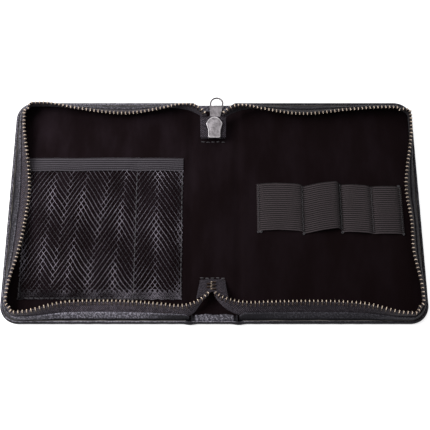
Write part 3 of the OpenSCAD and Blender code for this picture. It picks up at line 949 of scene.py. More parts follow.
SIZES = CaseSizes()
CREASE_BEND = (12.5, 17.5)  # where bending of leather and velvet would start and end, off the middle; bend_at_crease makes no bend
# Lean of each wall into the case in degrees, at stations along the edge as EdgeFrames counts them
LEANS = {
    Half.LEFT: (30, 60, 55, 10, 18, 14, 38, 53, 62, 23, 24, 8, 27, 42, 13),
    Half.RIGHT: (47, 58, 46, 7, 18, 12, 28, 27, 35, 3, 30, 23, 30, 44, 19),
}
LEAN_STATIONS = (0, 0.45, 0.68, 0.95, 1.5, 2.05, 2.25, 2.4, 2.6, 2.95, 3.6, 4.07, 4.3, 4.6, 5)


@dataclass(frozen=True)
class EdgeFrames:
    """Frames along the edge of the left half.

    s is 0 to 1 on the near run, 1 to 2 in the near corner, 2 to 3 on the side, 3 to 4 in the far
    corner and 4 to 5 on the far run; past either end it goes on along the spine.
    """

    s: Array

    @staticmethod
    def every(step: float, start: float = 0.0, end: float = 0.0) -> "EdgeFrames":
        """Frames about step apart, from start to end, which are distances past the creases.

        Args:
            step: Distance between frames.
            start: Length before the near crease.
            end: Length past the far crease.

        Returns:
            The frames.
        """
        arc = math.pi / 2 * SIZES.corner_r
        stretch = np.array([SIZES.run_l, arc, SIZES.side_l, arc, SIZES.run_l])
        known = np.concatenate([[0.0], np.cumsum(stretch)])
        low, high = -start, known[-1] + end
        lengths = np.linspace(low, high, round((high - low) / step) + 1)
        s = np.interp(lengths, known, np.arange(6.0))
        s = np.where(lengths < 0, lengths / SIZES.run_l, s)
        return EdgeFrames(np.where(lengths > known[-1], 5 + (lengths - known[-1]) / SIZES.run_l, s))

    def turn(self) -> Array:
        """Turn of the edge from the near run, in radians."""
        s = self.s
        turned = [0 * s, 90 * (s - 1), 90 + 0 * s, 90 + 90 * (s - 3)]
        return np.radians(np.select([s < k for k in (1, 2, 3, 4)], turned, 180.0))

    def inward(self) -> Array:
        """Level directions from the edge into the case."""
        turn = self.turn()
        return np.stack([np.sin(turn), np.cos(turn), 0 * turn], axis=1)

    def edge(self) -> Array:
        """Points of the edge on the table.

        Returns:
            A point for each frame.
        """
        s, z = self.s, SIZES
        x, y = z.open_w / 2 - z.corner_r, z.depth / 2 - z.corner_r
        zero = np.zeros_like(s)
        round_it = -z.corner_r * self.inward()
        near_run = np.stack([-z.crease_x - z.run_l * s, zero - z.depth / 2, zero], axis=1)
        side = np.stack([zero - z.open_w / 2, z.side_l * (s - 2) - y, zero], axis=1)
        far_run = np.stack([z.run_l * (s - 4) - x, zero + z.depth / 2, zero], axis=1)
        stretches = [near_run, round_it + [-x, -y, 0], side, round_it + [-x, y, 0]]
        return np.select([(s < k)[:, None] for k in (1, 2, 3, 4)], stretches, far_run)

    def lean(self, half: Half) -> Array:
        """Lean of the wall into the case in radians.

        Between two stations it is the cubic curve that meets both with the slope of the chord
        from the station before to the station after.

        Args:
            half: Which half.

        Returns:
            An angle for each frame.
        """
        at, value = np.array(LEAN_STATIONS, float), np.array(LEANS[half], float)
        slope = np.zeros_like(at)
        slope[1:-1] = (value[2:] - value[:-2]) / (at[2:] - at[:-2])
        s = np.clip(self.s, 0, 5)
        i = np.clip(np.searchsorted(at, s) - 1, 0, len(at) - 2)
        w = at[i + 1] - at[i]
        t = (s - at[i]) / w
        a, b, ma, mb = value[i], value[i + 1], w * slope[i], w * slope[i + 1]
        cubic = a * (2 * t**3 - 3 * t**2 + 1) + ma * (t**3 - 2 * t**2 + t)
        return np.radians(cubic + b * (3 * t**2 - 2 * t**3) + mb * (t**3 - t**2))

    def wall(self, half: Half) -> tuple[Array, Array, Array]:
        """The wall's foot, its direction up the slope and its direction across into the case.

        Args:
            half: Which half.

        Returns:
            Foot, way up and way across, for each frame.
        """
        lean, inward = self.lean(half)[:, None], self.inward()
        foot = self.edge() + inward * SIZES.wall_in + UP * SIZES.wall_z
        up = inward * np.sin(lean) + UP * np.cos(lean)
        return foot, up, inward * np.cos(lean) - UP * np.sin(lean)


def bend_at_crease(piece: bpy.types.Object, half: Half, start: float, end: float) -> None:
    """Bakes a piece's transform into its mesh; no bend is made between start and end millimetres off the
    middle.
    """
    sign = half.value * MM
    start * sign
    end * sign
    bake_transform(piece)


@dataclass
class Part:
    """A part of the case, which makes its own pieces."""

    finishes: Finishes

    def piece(
        self, name: str, shell: Shell, slot: str, nodes: Sequence[str], sharp: float = COMMON_EDGE
    ) -> bpy.types.Object:
        """Makes a piece with the finish of its slot.

        Args:
            name: The piece's name.
            shell: Its shape.
            slot: Its material slot, which is also the name of its finish.
            nodes: The CAD nodes that it stands for.
            sharp: Edges that turn by more than this many degrees are left sharp.

        Returns:
            The new object.
        """
        made = make_piece(name, shell, self.finishes[slot], sharp)
        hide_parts(*nodes)
        return made


@dataclass
class Cover(Part):
    """The leather cover: the flat skin, its rolled edge, and the leather turned in at the spine."""

    bump_w: float = 3.2
    bump_h: float = 0.55
    ripple_h: float = 0.05
    far_in: float = 1.9
    far_in_end: float = 14.6
    far_in_fade: float = 3.9
    skin_in: float = 1.2
    crease_h: float = 0.35
    crease_w: float = 1.3
    strip_reach: float = 14.6
    strip_crown: float = 1.05
    strip_sinks: float = 11.5

    def drawn_in(self, x: Array) -> Array:
        """How much nearer the far edge lies at the spine than along the halves."""
        return self.far_in * ease((self.far_in_end - np.abs(x)) / self.far_in_fade)

    def skin(self, half: Half) -> Shell:
        """The flat skin: a grid whose rows shorten in the corners as the edge rounds them.

        At x the edge lies at depth / 2 - r + sqrt(r^2 - (x - corner)^2), less the inset.

        Args:
            half: Which half.

        Returns:
            The closed shell.
        """
        r = SIZES.corner_r - self.skin_in
        corner = SIZES.open_w / 2 - SIZES.corner_r
        spine, crease = np.linspace(0, 11, 6), np.linspace(12, 18, 13)
        round_x = corner + r * np.sin(np.linspace(0, np.pi / 2, 14))
        x = np.concatenate([spine, crease, np.linspace(22, corner, 26)[:-1], round_x])
        rise = np.sqrt(np.maximum(r * r - np.maximum(x - corner, 0) ** 2, 0))
        reach = SIZES.depth / 2 - SIZES.corner_r + rise
        y = np.linspace(-1, 1, 41)
        gx, gy = np.broadcast_arrays(x[:, None], reach[:, None] * y)
        gy = gy - self.drawn_in(gx) * np.maximum(y, 0.0)
        fold = self.crease_h * bell(gx, SIZES.crease_x, self.crease_w)
        return half.place(draped(-gx, gy, SIZES.skin_t, fold, (gx, gy, 0.0)))

    def roll(self, half: Half) -> Shell:
        """The rolled edge: a rounded profile carried round the edge, fuller at the near creases.

        There the leather bunches up, and a bell curve over the distance to the crease swells the
        profile outwards and upwards. A painted highlight runs along its inner shoulder, left off the
        bunched leather, and its outer side is painted dark as shade.

        Args:
            half: Which half.

        Returns:
            The closed shell.
        """
        frames = EdgeFrames.every(1.0, SIZES.crease_x, SIZES.crease_x)
        edge, inward = frames.edge(), frames.inward()
        edge[:, 1] -= self.drawn_in(edge[:, 0]) * (edge[:, 1] > 0)
        outer = np.array([
            [2.1, 0.15], [1.3, 0.02], [0.75, 0.0], [0.35, 0.22], [0.08, 0.75], [0.0, 1.4],
            [0.06, 2.1], [0.28, 2.75], [0.62, 3.18], [1.0, 3.35], [1.38, 3.2], [1.66, 2.8],
            [1.8, 2.2], [2.05, 1.6], [2.15, 0.8],
        ])
        off = np.abs(np.abs(edge[:, 0]) - SIZES.crease_x)
        bunch = bell(off, 0.0, self.bump_w) * (np.abs(edge[:, 0]) < SIZES.spine_w)
        along = np.arange(len(edge)) * 1.0
        ripple = self.ripple_h * waves(along, 0 * along, (9.0, 4.0, 2.3), 3)
        profile = np.repeat(outer[None], len(edge), axis=0)
        swell = (bunch * self.bump_h * (edge[:, 1] < 0))[:, None]
        profile[..., 0] -= swell * bell(outer[:, 0], 0.2, 1.1) - ripple[:, None]
        profile[..., 1] += swell * 0.7 * (outer[:, 1] > 2.4) + ripple[:, None] * (outer[:, 1] > 1.2)
        rings = sweep(edge, inward, np.broadcast_to(UP, inward.shape), profile)
        cloth = swept_cloth(rings, along, lengths_along(outer))
        # Painted light: a highlight line on the inner shoulder and painted shade on the outer side
        rubbed = 2.1 * bell(outer[:, 0], 1.45, 0.36) * (outer[:, 1] > 1.9)
        cloth[..., 2] = rubbed * (1 - bunch)[:, None] - 0.7 * (outer[:, 0] < 0.9)
        return half.place(tube(rings, cloth))

    def strip(self, half: Half, end: int) -> Shell:
        """Leather turned in over an end of the spine: a wrinkled pad between the roll and the velvet.

        Its height is a flat-topped arch with folds on it. Past strip_sinks it sinks towards its
        end, which covers the board at the crease, and is painted darker there as shade. The strip is
        painted lighter than the rest of the leather, with painted highlights on its folds.

        Args:
            half: Which half.
            end: 1 for the far end and -1 for the near one.

        Returns:
            The closed shell.
        """
        x = np.linspace(0, self.strip_reach, 58)
        v = np.linspace(0, 1, 17)
        gx, gv = np.meshgrid(x, v, indexing="ij")
        drawn = self.far_in if end > 0 else 0.0
        outer = SIZES.depth / 2 - 1.6 - drawn
        inner = SIZES.depth / 2 - 6.0 - 0.6 * drawn
        inner_x = inner + 0.35 * waves(gx * half.value, 0 * gx, (11.0, 5.0), 11 + end)
        y = outer + (inner_x - outer) * gv
        crown = self.strip_crown * arch(gv)
        folds = 0.22 * waves(gx * half.value + 3 * gv, gv * 4, (3.0, 1.9, 1.2), 5 + end)
        fade = 1 - ease((gx - self.strip_sinks) / 1.7)
        top = SIZES.lining_z + 0.15 + (crown + folds * (crown > 0.2)) * (0.25 + 0.75 * fade)
        # Painted light: the strip is painted light, its folds carry painted highlights and its sinking end
        # is painted dark as shade
        wear_and_painted_light = 0.66 + 2.0 * folds - 2.4 * (1 - fade)
        return half.place(draped(-gx, end * y, top, SIZES.skin_t + 0.3, (gx, y, wear_and_painted_light)))

    def build(self) -> None:
        """Makes both halves' cover pieces."""
        for half in Half:
            tag = half.label
            made = {
                "cover_skin": (self.skin(half), ["spine_cover", f"{tag}_cover"]),
                "edge_roll": (self.roll(half), [f"{tag}_binding"]),
                "spine_strip_far": (self.strip(half, 1), ["spine_edge_far"]),
                "spine_strip_near": (self.strip(half, -1), ["spine_edge_near"]),
            }
            for name, (shell, nodes) in made.items():
                piece = self.piece(f"{tag}_{name}", shell, "cover_leather", nodes)
                bend_at_crease(piece, half, *CREASE_BEND)
                name == "cover_skin"


@dataclass
class Lining(Part):
    """Velvet glued over the boards, dipping into each crease."""

    dip: float = 1.15
    dip_w: float = 1.5
    pile_h: float = 0.07
    thick: float = 0.75
    rim_drop: float = 0.55
    spine_in: float = 5.4
    panel_reach: float = 66.0

    def sheet(self, half: Half) -> Shell:
        """The velvet of a half and half of the spine.

        Its rim runs a little inside the foot of the wall; each row goes straight in from the rim
        to the long middle line of the panel, and the height dips by a bell curve at the crease.

        Args:
            half: Which half.

        Returns:
            The closed shell.
        """
        frames = EdgeFrames.every(2.2, SIZES.crease_x, SIZES.crease_x)
        edge, inward, lean = frames.edge(), frames.inward(), frames.lean(half)
        reach = SIZES.wall_in + 0.45 / np.cos(lean)
        reach = reach - (reach - 2.0) * ease((17.0 - np.abs(edge[:, 0])) / 1.6)
        spine = ease((13.2 - np.abs(edge[:, 0])) / 1.4)
        reach = reach * (1 - spine) + self.spine_in * spine
        rim = edge + inward * reach[:, None]
        middle = rim * [1.0, 0.0, 0.0]
        middle[:, 0] = np.clip(rim[:, 0], -SIZES.open_w / 2 + self.panel_reach, 0.0)
        way = np.concatenate([[0, 0.006, 0.02], np.linspace(0.05, 1, 30)])
        grid = rim[:, None] + (middle - rim)[:, None] * way[:, None]
        x, y = grid[..., 0], grid[..., 1]
        dip = self.dip * bell(np.abs(x), SIZES.crease_x, self.dip_w)
        pile = self.pile_h * waves(x, y, (37.0, 19.0, 11.0), 21 + half.value)
        edge_drop = self.rim_drop * np.exp(-way / 0.012)
        top = SIZES.floor_z - dip + pile * ease(way / 0.05) - edge_drop
        return half.place(draped(x, y, top, top - self.thick, (x, y, 0.0)))

    def build(self) -> None:
        """Makes both sheets."""
        for half in Half:
            tag = half.label
            nodes = ["spine_lining", f"{tag}_lining"]
            piece = self.piece(f"{tag}_velvet", self.sheet(half), "velvet_lining", nodes)
            bend_at_crease(piece, half, *CREASE_BEND)


@dataclass
class ZipWall(Part):
    """The standing wall of a half: leather gusset, zip tape and its row of teeth."""

    slider_clear: float = 1.3
    step: float = 1.0
    zip_bend: tuple[float, float] = (9.0, 27.0)
    pucker_h: float = 0.10
    wave_h: float = 0.09
    near_tab_y: float = -57.25
    tooth_wag: float = 2.0
    tooth_spread: float = 0.07

    def gusset(self, half: Half) -> Shell:
        """The leather of the wall: a padded strip up the slope, tapering away at the creases.

        Args:
            half: Which half.

        Returns:
            The closed shell.
        """
        frames = EdgeFrames.every(self.step, -0.6, -0.6)
        foot, up, across = frames.wall(half)
        along = np.arange(len(foot)) * self.step
        past = np.minimum(along, along[-1] - along)
        height = 0.55 + 0.45 * ease((past + 0.5) / 3.5)
        pucker = self.pucker_h * waves(along, 0 * along, (13.0, 6.0, 3.1), 7 + half.value)
        shape = np.array([
            [0.05, -0.1], [-0.12, 0.8], [-0.28, 1.9], [-0.32, 3.0], [-0.24, 4.1], [-0.06, 4.9],
            [0.16, 5.28], [0.5, 5.4], [0.84, 5.28], [0.98, 4.9], [1.0, 4.0], [1.0, 2.6],
            [1.0, 1.4], [0.9, 0.75], [0.5, 0.1],
        ])
        profile = np.repeat(shape[None], len(foot), axis=0)
        profile[..., 1] *= height[:, None]
        profile[..., 0] += pucker[:, None] * (shape[:, 0] < 0.1)
        rings = sweep(foot, across, up, profile)
        cloth = swept_cloth(rings, along, lengths_along(shape))
        # Painted light: a painted highlight along the top fold and up the near run away from the spine, and
        # painted shade at the foot, in the groove by the roll
        near = 0.62 * ease((1.3 - frames.s) / 0.4) * ease((np.abs(foot[:, 0]) - 24.0) / 26.0)
        cloth[..., 2] = 0.5 * bell(shape[:, 1], 5.3, 0.35) * (shape[:, 0] < 0.6)
        cloth[..., 2] += near[:, None] * (shape[:, 1] > 1.5) - 0.5 * (shape[:, 1] < 1.0)
        return half.place(tube(rings, cloth))

    def chain_lines(self, half: Half) -> tuple[Array, Array]:
        """The tape's low edge and its corded top edge, from the near tab round to the slider.

        On the wall both follow its slope. Past the walls they are cubic curves, each given by the
        place where it starts at the near tab or the slider, and how it leaves there and arrives.

        Args:
            half: Which half.

        Returns:
            Low and top edge, with as many points each.
        """
        z = SIZES
        frames = EdgeFrames.every(1.0, -z.zip_free, -z.zip_free)
        foot, up, across = frames.wall(half)
        low = foot + up * z.tape_low + across * z.tape_deep
        top = foot + up * z.tape_top + across * z.tape_deep
        far_y, far_z = z.slider_y + z.slider_l / 2 + 1.6, z.slider_z
        near_x = -1.45 + 1.75 * half.value
        side = half.value
        near_low = {
            Half.LEFT: [[-3.6, -58.8, 6.6], [-8.4, -4.7, 0.0], [20.5, -7.0, -3.3]],
            Half.RIGHT: [[-0.3, -59.0, 6.6], [-3.6, -6.0, -1.0], [16.5, -5.4, -2.2]],
        }
        starts = {
            (-1, 1): [[near_x, self.near_tab_y, 9.2], [-3.6, -4.4, 2.6], [15.9, -2.4 + side, 0.1]],
            (-1, 0): near_low[half],
            (1, 1): [[-5.2, far_y, far_z + 1.8], [-4.8, 2.6, 5.5], [16.6, 3.2, 2.9]],
            (1, 0): [[-8.7, far_y - 0.2, far_z + 0.6], [-2.2, 3.6, -1.6], [10, 0, 0.4]],
        }
        t = np.linspace(0, 1, 40)
        lines = []
        for row, wall in ((0, low), (1, top)):
            ends = []
            for end, meet in ((-1, wall[0]), (1, wall[-1])):
                first, lead, tail = (np.array(v, float) for v in starts[end, row])
                ends.append(bezier(np.stack([first, first + lead, meet + tail, meet]), t))
            lines.append(np.concatenate([ends[0][:-1], wall, ends[1][::-1][1:]]))
        low, top = lines
        total = lengths_along(top)[-1]
        even = points_at(top, np.linspace(0, 1, round(total / self.step) + 1) * total)
        # Points of the low edge are matched to the top edge by their place, not by their share
        return self.match(top, low, even), even

    @staticmethod
    def match(top: Array, low: Array, wanted: Array) -> Array:
        """Points of low that stand opposite the wanted points of top, by the shared row number.

        Args:
            top: The top edge.
            low: The low edge.
            wanted: Points on the top edge.

        Returns:
            A point of the low edge for each wanted one.
        """
        known, asked = lengths_along(top), lengths_along(wanted)
        at = np.interp(asked * known[-1] / asked[-1], known, np.arange(len(top)))
        rows = np.arange(len(low))
        return np.stack([np.interp(at, rows, low[:, k]) for k in range(3)], axis=1)

    def tape_frames(self, half: Half) -> tuple[Array, Array, Array, Array]:
        """Frames along the tape: up from its low edge to its corded one, and across into the case.

        Args:
            half: Which half.

        Returns:
            Low edge, top edge, way up and way across.
        """
        low, top = self.chain_lines(half)
        up = unit(top - low)
        way = unit(np.gradient(top, axis=0))
        across = unit(np.cross(way, up))
        up = np.cross(across, way)
        return low, top, up, across

    def tape(self, half: Half) -> Shell:
        """The woven tape: flat, with a cord along its top edge.

        Args:
            half: Which half.

        Returns:
            The closed shell.
        """
        low, top, _, across = self.tape_frames(half)
        share = np.array([0, 0.3, 0.6, 0.82, 0.90, 0.96, 1.02, 1.04, 1.02, 0.96, 0.90, 0.82, 0.6, 0.3, 0])
        deep = np.array([0, 0, 0, 0, -0.15, -0.32, -0.2, 0.35, 0.9, 1.02, 0.85, 0.7, 0.7, 0.7, 0.7])
        along = lengths_along(top)
        wave = self.wave_h * waves(along, 0 * along, (23.0, 9.0, 5.0), 15 + half.value)
        bulge = wave[:, None, None] * np.sin(np.pi * share[:, None])
        rings = low[:, None] + (top - low)[:, None] * share[:, None]
        rings = rings + across[:, None] * (deep[:, None] + bulge)
        facing = np.arange(len(share)) < 8
        cloth = swept_cloth(rings, along, np.where(facing, share, 2.2 - share) * SIZES.tape_w)
        return half.place(tube(rings, cloth))

    @staticmethod
    def tooth() -> Shell:
        """One tooth, X along the zip, Y across it and Z up from the tape's top edge.

        Rounded rings are stacked upwards: two legs that grip the cord, a waist, and a head with a
        hollow on its crown.

        Returns:
            The closed shell.
        """
        rings = np.array([
            [-1.85, 0.80, 0.28], [-1.65, 1.05, 0.36], [-0.9, 1.12, 0.38], [-0.35, 1.06, 0.37],
            [-0.05, 0.84, 0.30], [0.2, 0.80, 0.28], [0.48, 1.02, 0.34], [0.95, 1.06, 0.38],
            [1.4, 0.82, 0.34], [1.65, 0.50, 0.26], [1.52, 0.24, 0.14],
        ])
        z, half_w, half_t = rings[:, 0:1], rings[:, 1:2], rings[:, 2:3]
        across, out = squarish(2 * np.pi * (np.arange(10) + 0.5) / 10, 0.62)
        points = np.stack([half_t * across, half_w * out, np.repeat(z, 10, axis=1)], axis=-1)
        cloth = np.zeros(points.shape)
        cloth[..., 2] = np.interp(z, [-1.7, -0.4, 0.1, 0.5, 1.5], [0.24, 0.32, 0.05, 0.70, 1.05])
        return tube(points, cloth)

    def teeth(self, half: Half) -> Shell:
        """The row of teeth at an even pitch along the corded edge, up to the slider's room to slide.

        Each tooth is turned a little about the tape's upright, and some shine less than others at random;
        the row is also painted darker as shade on the side walls, near the spine on the near side and on the
        right half.

        Args:
            half: Which half.

        Returns:
            The closed shell.
        """
        _, top, up, across = self.tape_frames(half)
        total = lengths_along(top)[-1]
        count = int(total / SIZES.tooth_pitch)
        at = (np.arange(count) + 0.5) * (total - self.slider_clear) / count
        known = lengths_along(top)
        edge, above, into = (
            np.stack([np.interp(at, known, v[:, k]) for k in range(3)], axis=1)
            for v in (top, up, across)
        )
        origin = edge + into * SIZES.tape_t / 2
        above, into = unit(above), unit(into)
        draw = np.random.default_rng(40 + half.value)
        wag = draw.normal(0, math.radians(self.tooth_wag), (count, 1))
        into = unit(into + np.cross(above, into) * wag)
        along = np.cross(into, above)
        row = copies(self.tooth(), origin, np.stack([along, into, above], axis=2))
        # Painted shade: teeth on the side walls, near the spine on the near side and on the right half are
        # painted darker
        side = ease((np.abs(origin[:, 0]) - 112.0) / 12.0)
        spine = ease((26.0 - np.abs(origin[:, 0])) / 12.0) * (origin[:, 1] < 0)
        painted_shade_right = 0.12 if half is Half.RIGHT else 0.0
        bright = 1 - 0.16 * side - 0.14 * spine - painted_shade_right + draw.normal(0, self.tooth_spread, count)
        row.cloth[:, 2] *= np.repeat(bright, len(row.cloth) // count)
        return half.place(row)

    def build(self) -> None:
        """Makes the walls of both halves."""
        tapes = ("tape", "tape_end_far", "tape_end_near")
        teeth = ("teeth", "end_teeth_far", "end_teeth_near")
        for half in Half:
            tag = half.label
            made = (
                ("wall_leather", self.gusset(half), "cover_leather", ("gusset",), COMMON_EDGE, CREASE_BEND),
                ("zip_tape", self.tape(half), "zip_tape", tapes, TAPE_EDGE, self.zip_bend),
                ("zip_teeth", self.teeth(half), "zip_brass", teeth, COMMON_EDGE, self.zip_bend),
            )
            for name, shell, slot, nodes, sharp, bend in made:
                piece = self.piece(f"{tag}_{name}", shell, slot, [f"{tag}_{n}" for n in nodes], sharp)
                bend_at_crease(piece, half, *bend)


@dataclass
class NetPocket(Part):
    """Two pockets of knitted net on the left half, with a woven hem along their mouth."""

    left: float = -123.2
    divider: float = -50.8
    right: float = -20.5
    bottom: float = -60.5
    mouth: float = 34.5
    hem_w: float = 9.2
    hem_t: float = 0.8
    slack: float = 3.3
    cell_w: float = 3.15
    cell_l: float = 4.75
    thread_r: float = 0.115
    gathered: float = 5.5
    weave_h: float = 0.12
    bunch_h: float = 0.34
    shortest: float = 0.8
    stitch_pitch: float = 3.2
    stitch_l: float = 2.2
    stitch_h: float = 0.42
    stitch_r: float = 0.26
    folds_far: tuple[float, ...] = (-123.2, -104.4, -95.1, -84.9, -70.3, -58.5, -50.8, -36.8, -20.5)
    folds_near: tuple[float, ...] = (-123.2, -109.5, -102.3, -92.8, -80.0, -63.5, -50.8, -37.2, -20.5)
    fold_rise: tuple[float, ...] = (0.0, 1.0, 0.5, 1.0, 0.42, 0.9, 0.0, 1.0, 0.0)

    def folds(self, x: Array, y: Array) -> tuple[Array, Array]:
        """Hanging folds of the net, with crests and hollows on straight lines that slant a little.

        The height between two of them is halfway between a straight slope and an eased one.

        Args:
            x: Places across, in millimetres.
            y: Places along, in millimetres.

        Returns:
            Height from 0 to 1, and flank: 1 rising, -1 falling to the right.
        """
        share = np.clip((10.0 - y) / 60.0, -0.5, 1.2)
        height, flank = np.zeros_like(x), np.zeros_like(x)
        far, near, rise = self.folds_far, self.folds_near, self.fold_rise
        for k in range(len(rise) - 1):
            low = far[k] + (near[k] - far[k]) * share
            high = far[k + 1] + (near[k + 1] - far[k + 1]) * share
            t = np.clip((x - low) / (high - low), 0, 1)
            height = height + (rise[k + 1] - rise[k]) * (0.5 * t + 0.5 * ease(t))
            flank = flank + np.sign(rise[k + 1] - rise[k]) * np.sin(np.pi * t)
        return height, flank

    def height(self, x: Array, y: Array) -> Array:
        """Height of the net: folds that rise from the bottom seam and flatten towards the hem.

        Args:
            x: Places across, in millimetres.
            y: Places along, in millimetres.

        Returns:
            Heights over the table.
        """
        open_end = ease((self.mouth - self.hem_w + 2.0 - y) / 16.0)
        up = ease((y - self.bottom - 1.0) / 20.0) * (0.30 + 0.70 * open_end)
        small = 0.22 * waves(x, y, (13.0, 7.5), 31) * ease((y - self.bottom) / 4.0)
        near_seam = 0.55 * bell(y - self.bottom, 4.0, 3.5) * (1 + waves(x, y, (5.2, 3.1), 35))
        edge = np.minimum(np.minimum(x - self.left, self.right - x), np.abs(x - self.divider))
        inside = ease(edge / 2.0)
        folds, _ = self.folds(x, y)
        return SIZES.floor_z + 0.32 + self.slack * up * folds + (small + near_seam) * inside

    def drawn(self, x: Array, y: Array) -> Array:
        """Where the knitted cells lie: crowded at the bottom seam, where the net is gathered.

        Args:
            x: Places across, in millimetres.
            y: Places along, in millimetres.

        Returns:
            Y after the gathering.
        """
        past = y - self.bottom
        crowded = self.gathered * np.exp(-(past + self.gathered) / 9.0)
        pull = 0.55 * waves(x, y, (31.0, 14.0), 33) * ease(past / 12.0) * ease((self.mouth - y) / 10.0)
        return y + crowded + pull

    def crowded(self, x: Array, y: Array) -> Array:
        """1 where the net is bunched up, at the bottom seam and both sides, fading to 0."""
        side = 0.8 * bell(x, self.right, 6.0) + 0.6 * bell(x, self.left, 9.0)
        return np.clip(bell(y, self.bottom, 7.5) + side, 0.0, 1.0)

    def net_threads(
        self, x0: float, x1: float, y0: float, y1: float, shift: float, lift: float
    ) -> Shell:
        """Threads of both directions over a rectangle of the pockets.

        Each thread is a straight line on the flat net, y = start + slope * x, cut to the
        rectangle, then moved with the cloth and bent slightly round each crossing. A thread thickens
        and carries a painted highlight where the net lies level on crests and in hollows, and on one
        flank of each fold: the rising flank for one direction, the falling flank for the other.

        Args:
            x0: Left side.
            x1: Right side.
            y0: Near side.
            y1: Far side.
            shift: Moves the cells along Y.
            lift: Height over the other layers.

        Returns:
            The threads as one shell.
        """
        slope = self.cell_l / self.cell_w
        shells = []
        for way in (1, -1):
            rise = slope * (x1 - x0)
            below, above = (y0 - rise, y1) if way > 0 else (y0, y1 + rise)
            starts = np.arange(below, above, self.cell_l) + shift
            low = np.clip((y0 - starts) / (way * slope), 0, x1 - x0)
            high = np.clip((y1 - starts) / (way * slope), 0, x1 - x0)
            first, last = np.minimum(low, high), np.maximum(low, high)
            keep = last - first > self.shortest
            starts, first, last = starts[keep], first[keep], last[keep]
            t = np.linspace(0, 1, 170)
            far = first[:, None] + (last - first)[:, None] * t
            x = x0 + far
            flat_y = starts[:, None] + way * slope * far
            y = self.drawn(x, flat_y)
            fold, flank = self.folds(x, y)
            # Painted highlight: threads are painted light where the net lies level and on one flank of each
            # fold, and are thicker there too
            tight = 0.72 - 0.52 * np.abs(flank) + 0.34 * way * flank + 0.12 * (fold - 0.5)
            crowd = self.crowded(x, y)
            tight = tight * (1 - crowd) + 0.38 * crowd + 0.30 * waves(x, y, (41.0, 17.0, 9.0), 37)
            bunch = self.bunch_h * crowd
            y = y + bunch * waves(x, flat_y, (5.7, 3.4), 45)
            held = np.minimum(1.0, np.abs(x - self.right) / 3.0)
            x = x + bunch * held * waves(x, flat_y, (6.3, 3.1), 46)
            weave = self.weave_h * way * np.cos(2 * np.pi * far / self.cell_w)
            z = self.height(x, y) + lift + weave
            radius = self.thread_r * (0.75 + 0.4 * np.clip(tight, 0, 1))
            shell = strands(np.stack([x, y, z], axis=-1), radius, 4)
            shell.cloth[:, 2] = np.repeat(tight.ravel(), 4)
            shells.append(shell)
        return join(shells)

    def hem(self) -> Shell:
        """The woven hem: a band along the mouth that lies nearly flat over both pockets.

        Returns:
            The closed shell.
        """
        left, right = np.linspace(self.left, self.divider, 60), np.linspace(self.divider, self.right, 32)
        x = np.concatenate([left, right[1:]])
        v = np.array([0, 0.02, 0.06, 0.14, 0.25, 0.4, 0.55, 0.7, 0.84, 0.93, 0.98, 1.0])
        gx, gv = np.meshgrid(x, v, indexing="ij")
        kink = 0.5 * bell(gx, self.divider, 1.6)
        sway = 0.22 * waves(gx, 0 * gx, (37.0, 15.0), 8)
        y = self.mouth - self.hem_w + self.hem_w * gv + kink * (gv - 0.4) - sway
        folds, _ = self.folds(gx, y)
        base = SIZES.floor_z + 0.2 + 0.75 * folds * (1 - 0.3 * gv)
        soft = np.sqrt(np.clip(1 - (2 * gv - 1) ** 8, 0, 1))
        top = base + self.hem_t * (0.35 + 0.65 * soft) + 0.06 * waves(gx, gv * 8, (6.0, 3.4), 9)
        worn_and_painted_light = 0.45 * bell(gv, 0.96, 0.06) + 0.3 * bell(gv, 0.03, 0.05)
        return draped(gx, y, top, base, (gx, gv * self.hem_w, worn_and_painted_light))

    def seam(self, start: tuple[float, float], end: tuple[float, float]) -> Shell:
        """A row of stitches along a line: short threads, each rising as a hump over its length.

        Args:
            start: X and Y of one end.
            end: X and Y of the other.

        Returns:
            The stitches as one shell.
        """
        first, last = np.array([*start, 0.0]), np.array([*end, 0.0])
        total = float(np.linalg.norm(last - first))
        count = int(total / self.stitch_pitch)
        way = (last - first) / total
        middles = first + way * ((np.arange(count) + 0.5) * total / count)[:, None]
        t = np.linspace(-0.5, 0.5, 9)
        lines = middles[:, None] + way * (t * self.stitch_l)[:, None]
        lines[..., 2] = self.height(lines[..., 0], lines[..., 1]) + self.stitch_h * hump(t)
        return strands(lines, self.stitch_r, 6)

    def build(self) -> None:
        """Makes the net, its hem and its seams, all on the left half."""
        floor, under = self.bottom - self.gathered, self.mouth - self.hem_w * 0.6
        left, right = self.left, self.right
        threads = [
            self.net_threads(left, right, floor, under, 0.0, 0.0),
            self.net_threads(right - 3.4, right + 0.2, floor, under, 1.6, 0.30),
            self.net_threads(left - 0.2, left + 3.6, floor, under, 2.0, 0.30),
            self.net_threads(left, right, floor - 0.3, self.bottom + 4.5, 1.1, 0.35),
            self.net_threads(left, right, floor - 0.3, self.bottom + 2.5, 3.2, 0.60),
        ]
        net = self.piece("pocket_net_threads", join(threads), "pocket_net", ["pocket_net"], THREAD_EDGE)
        hem = self.piece("pocket_hem_band", self.hem(), "pocket_hem", ["pocket_hem"])
        top, low = self.mouth - self.hem_w - 1.0, self.bottom + 0.8
        seams = [
            self.seam((x, self.bottom + 1.5), (x, top))
            for x in (left + 0.6, self.divider, right - 0.6)
        ]
        seams.append(self.seam((left + 4, low), (right - 4, low)))
        nodes = ["pocket_stitches"]
        stitches = self.piece("pocket_seams", join(seams), "sewing_thread", nodes, THREAD_EDGE)
        for piece in (net, hem, stitches):
            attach(piece, Half.LEFT.body)


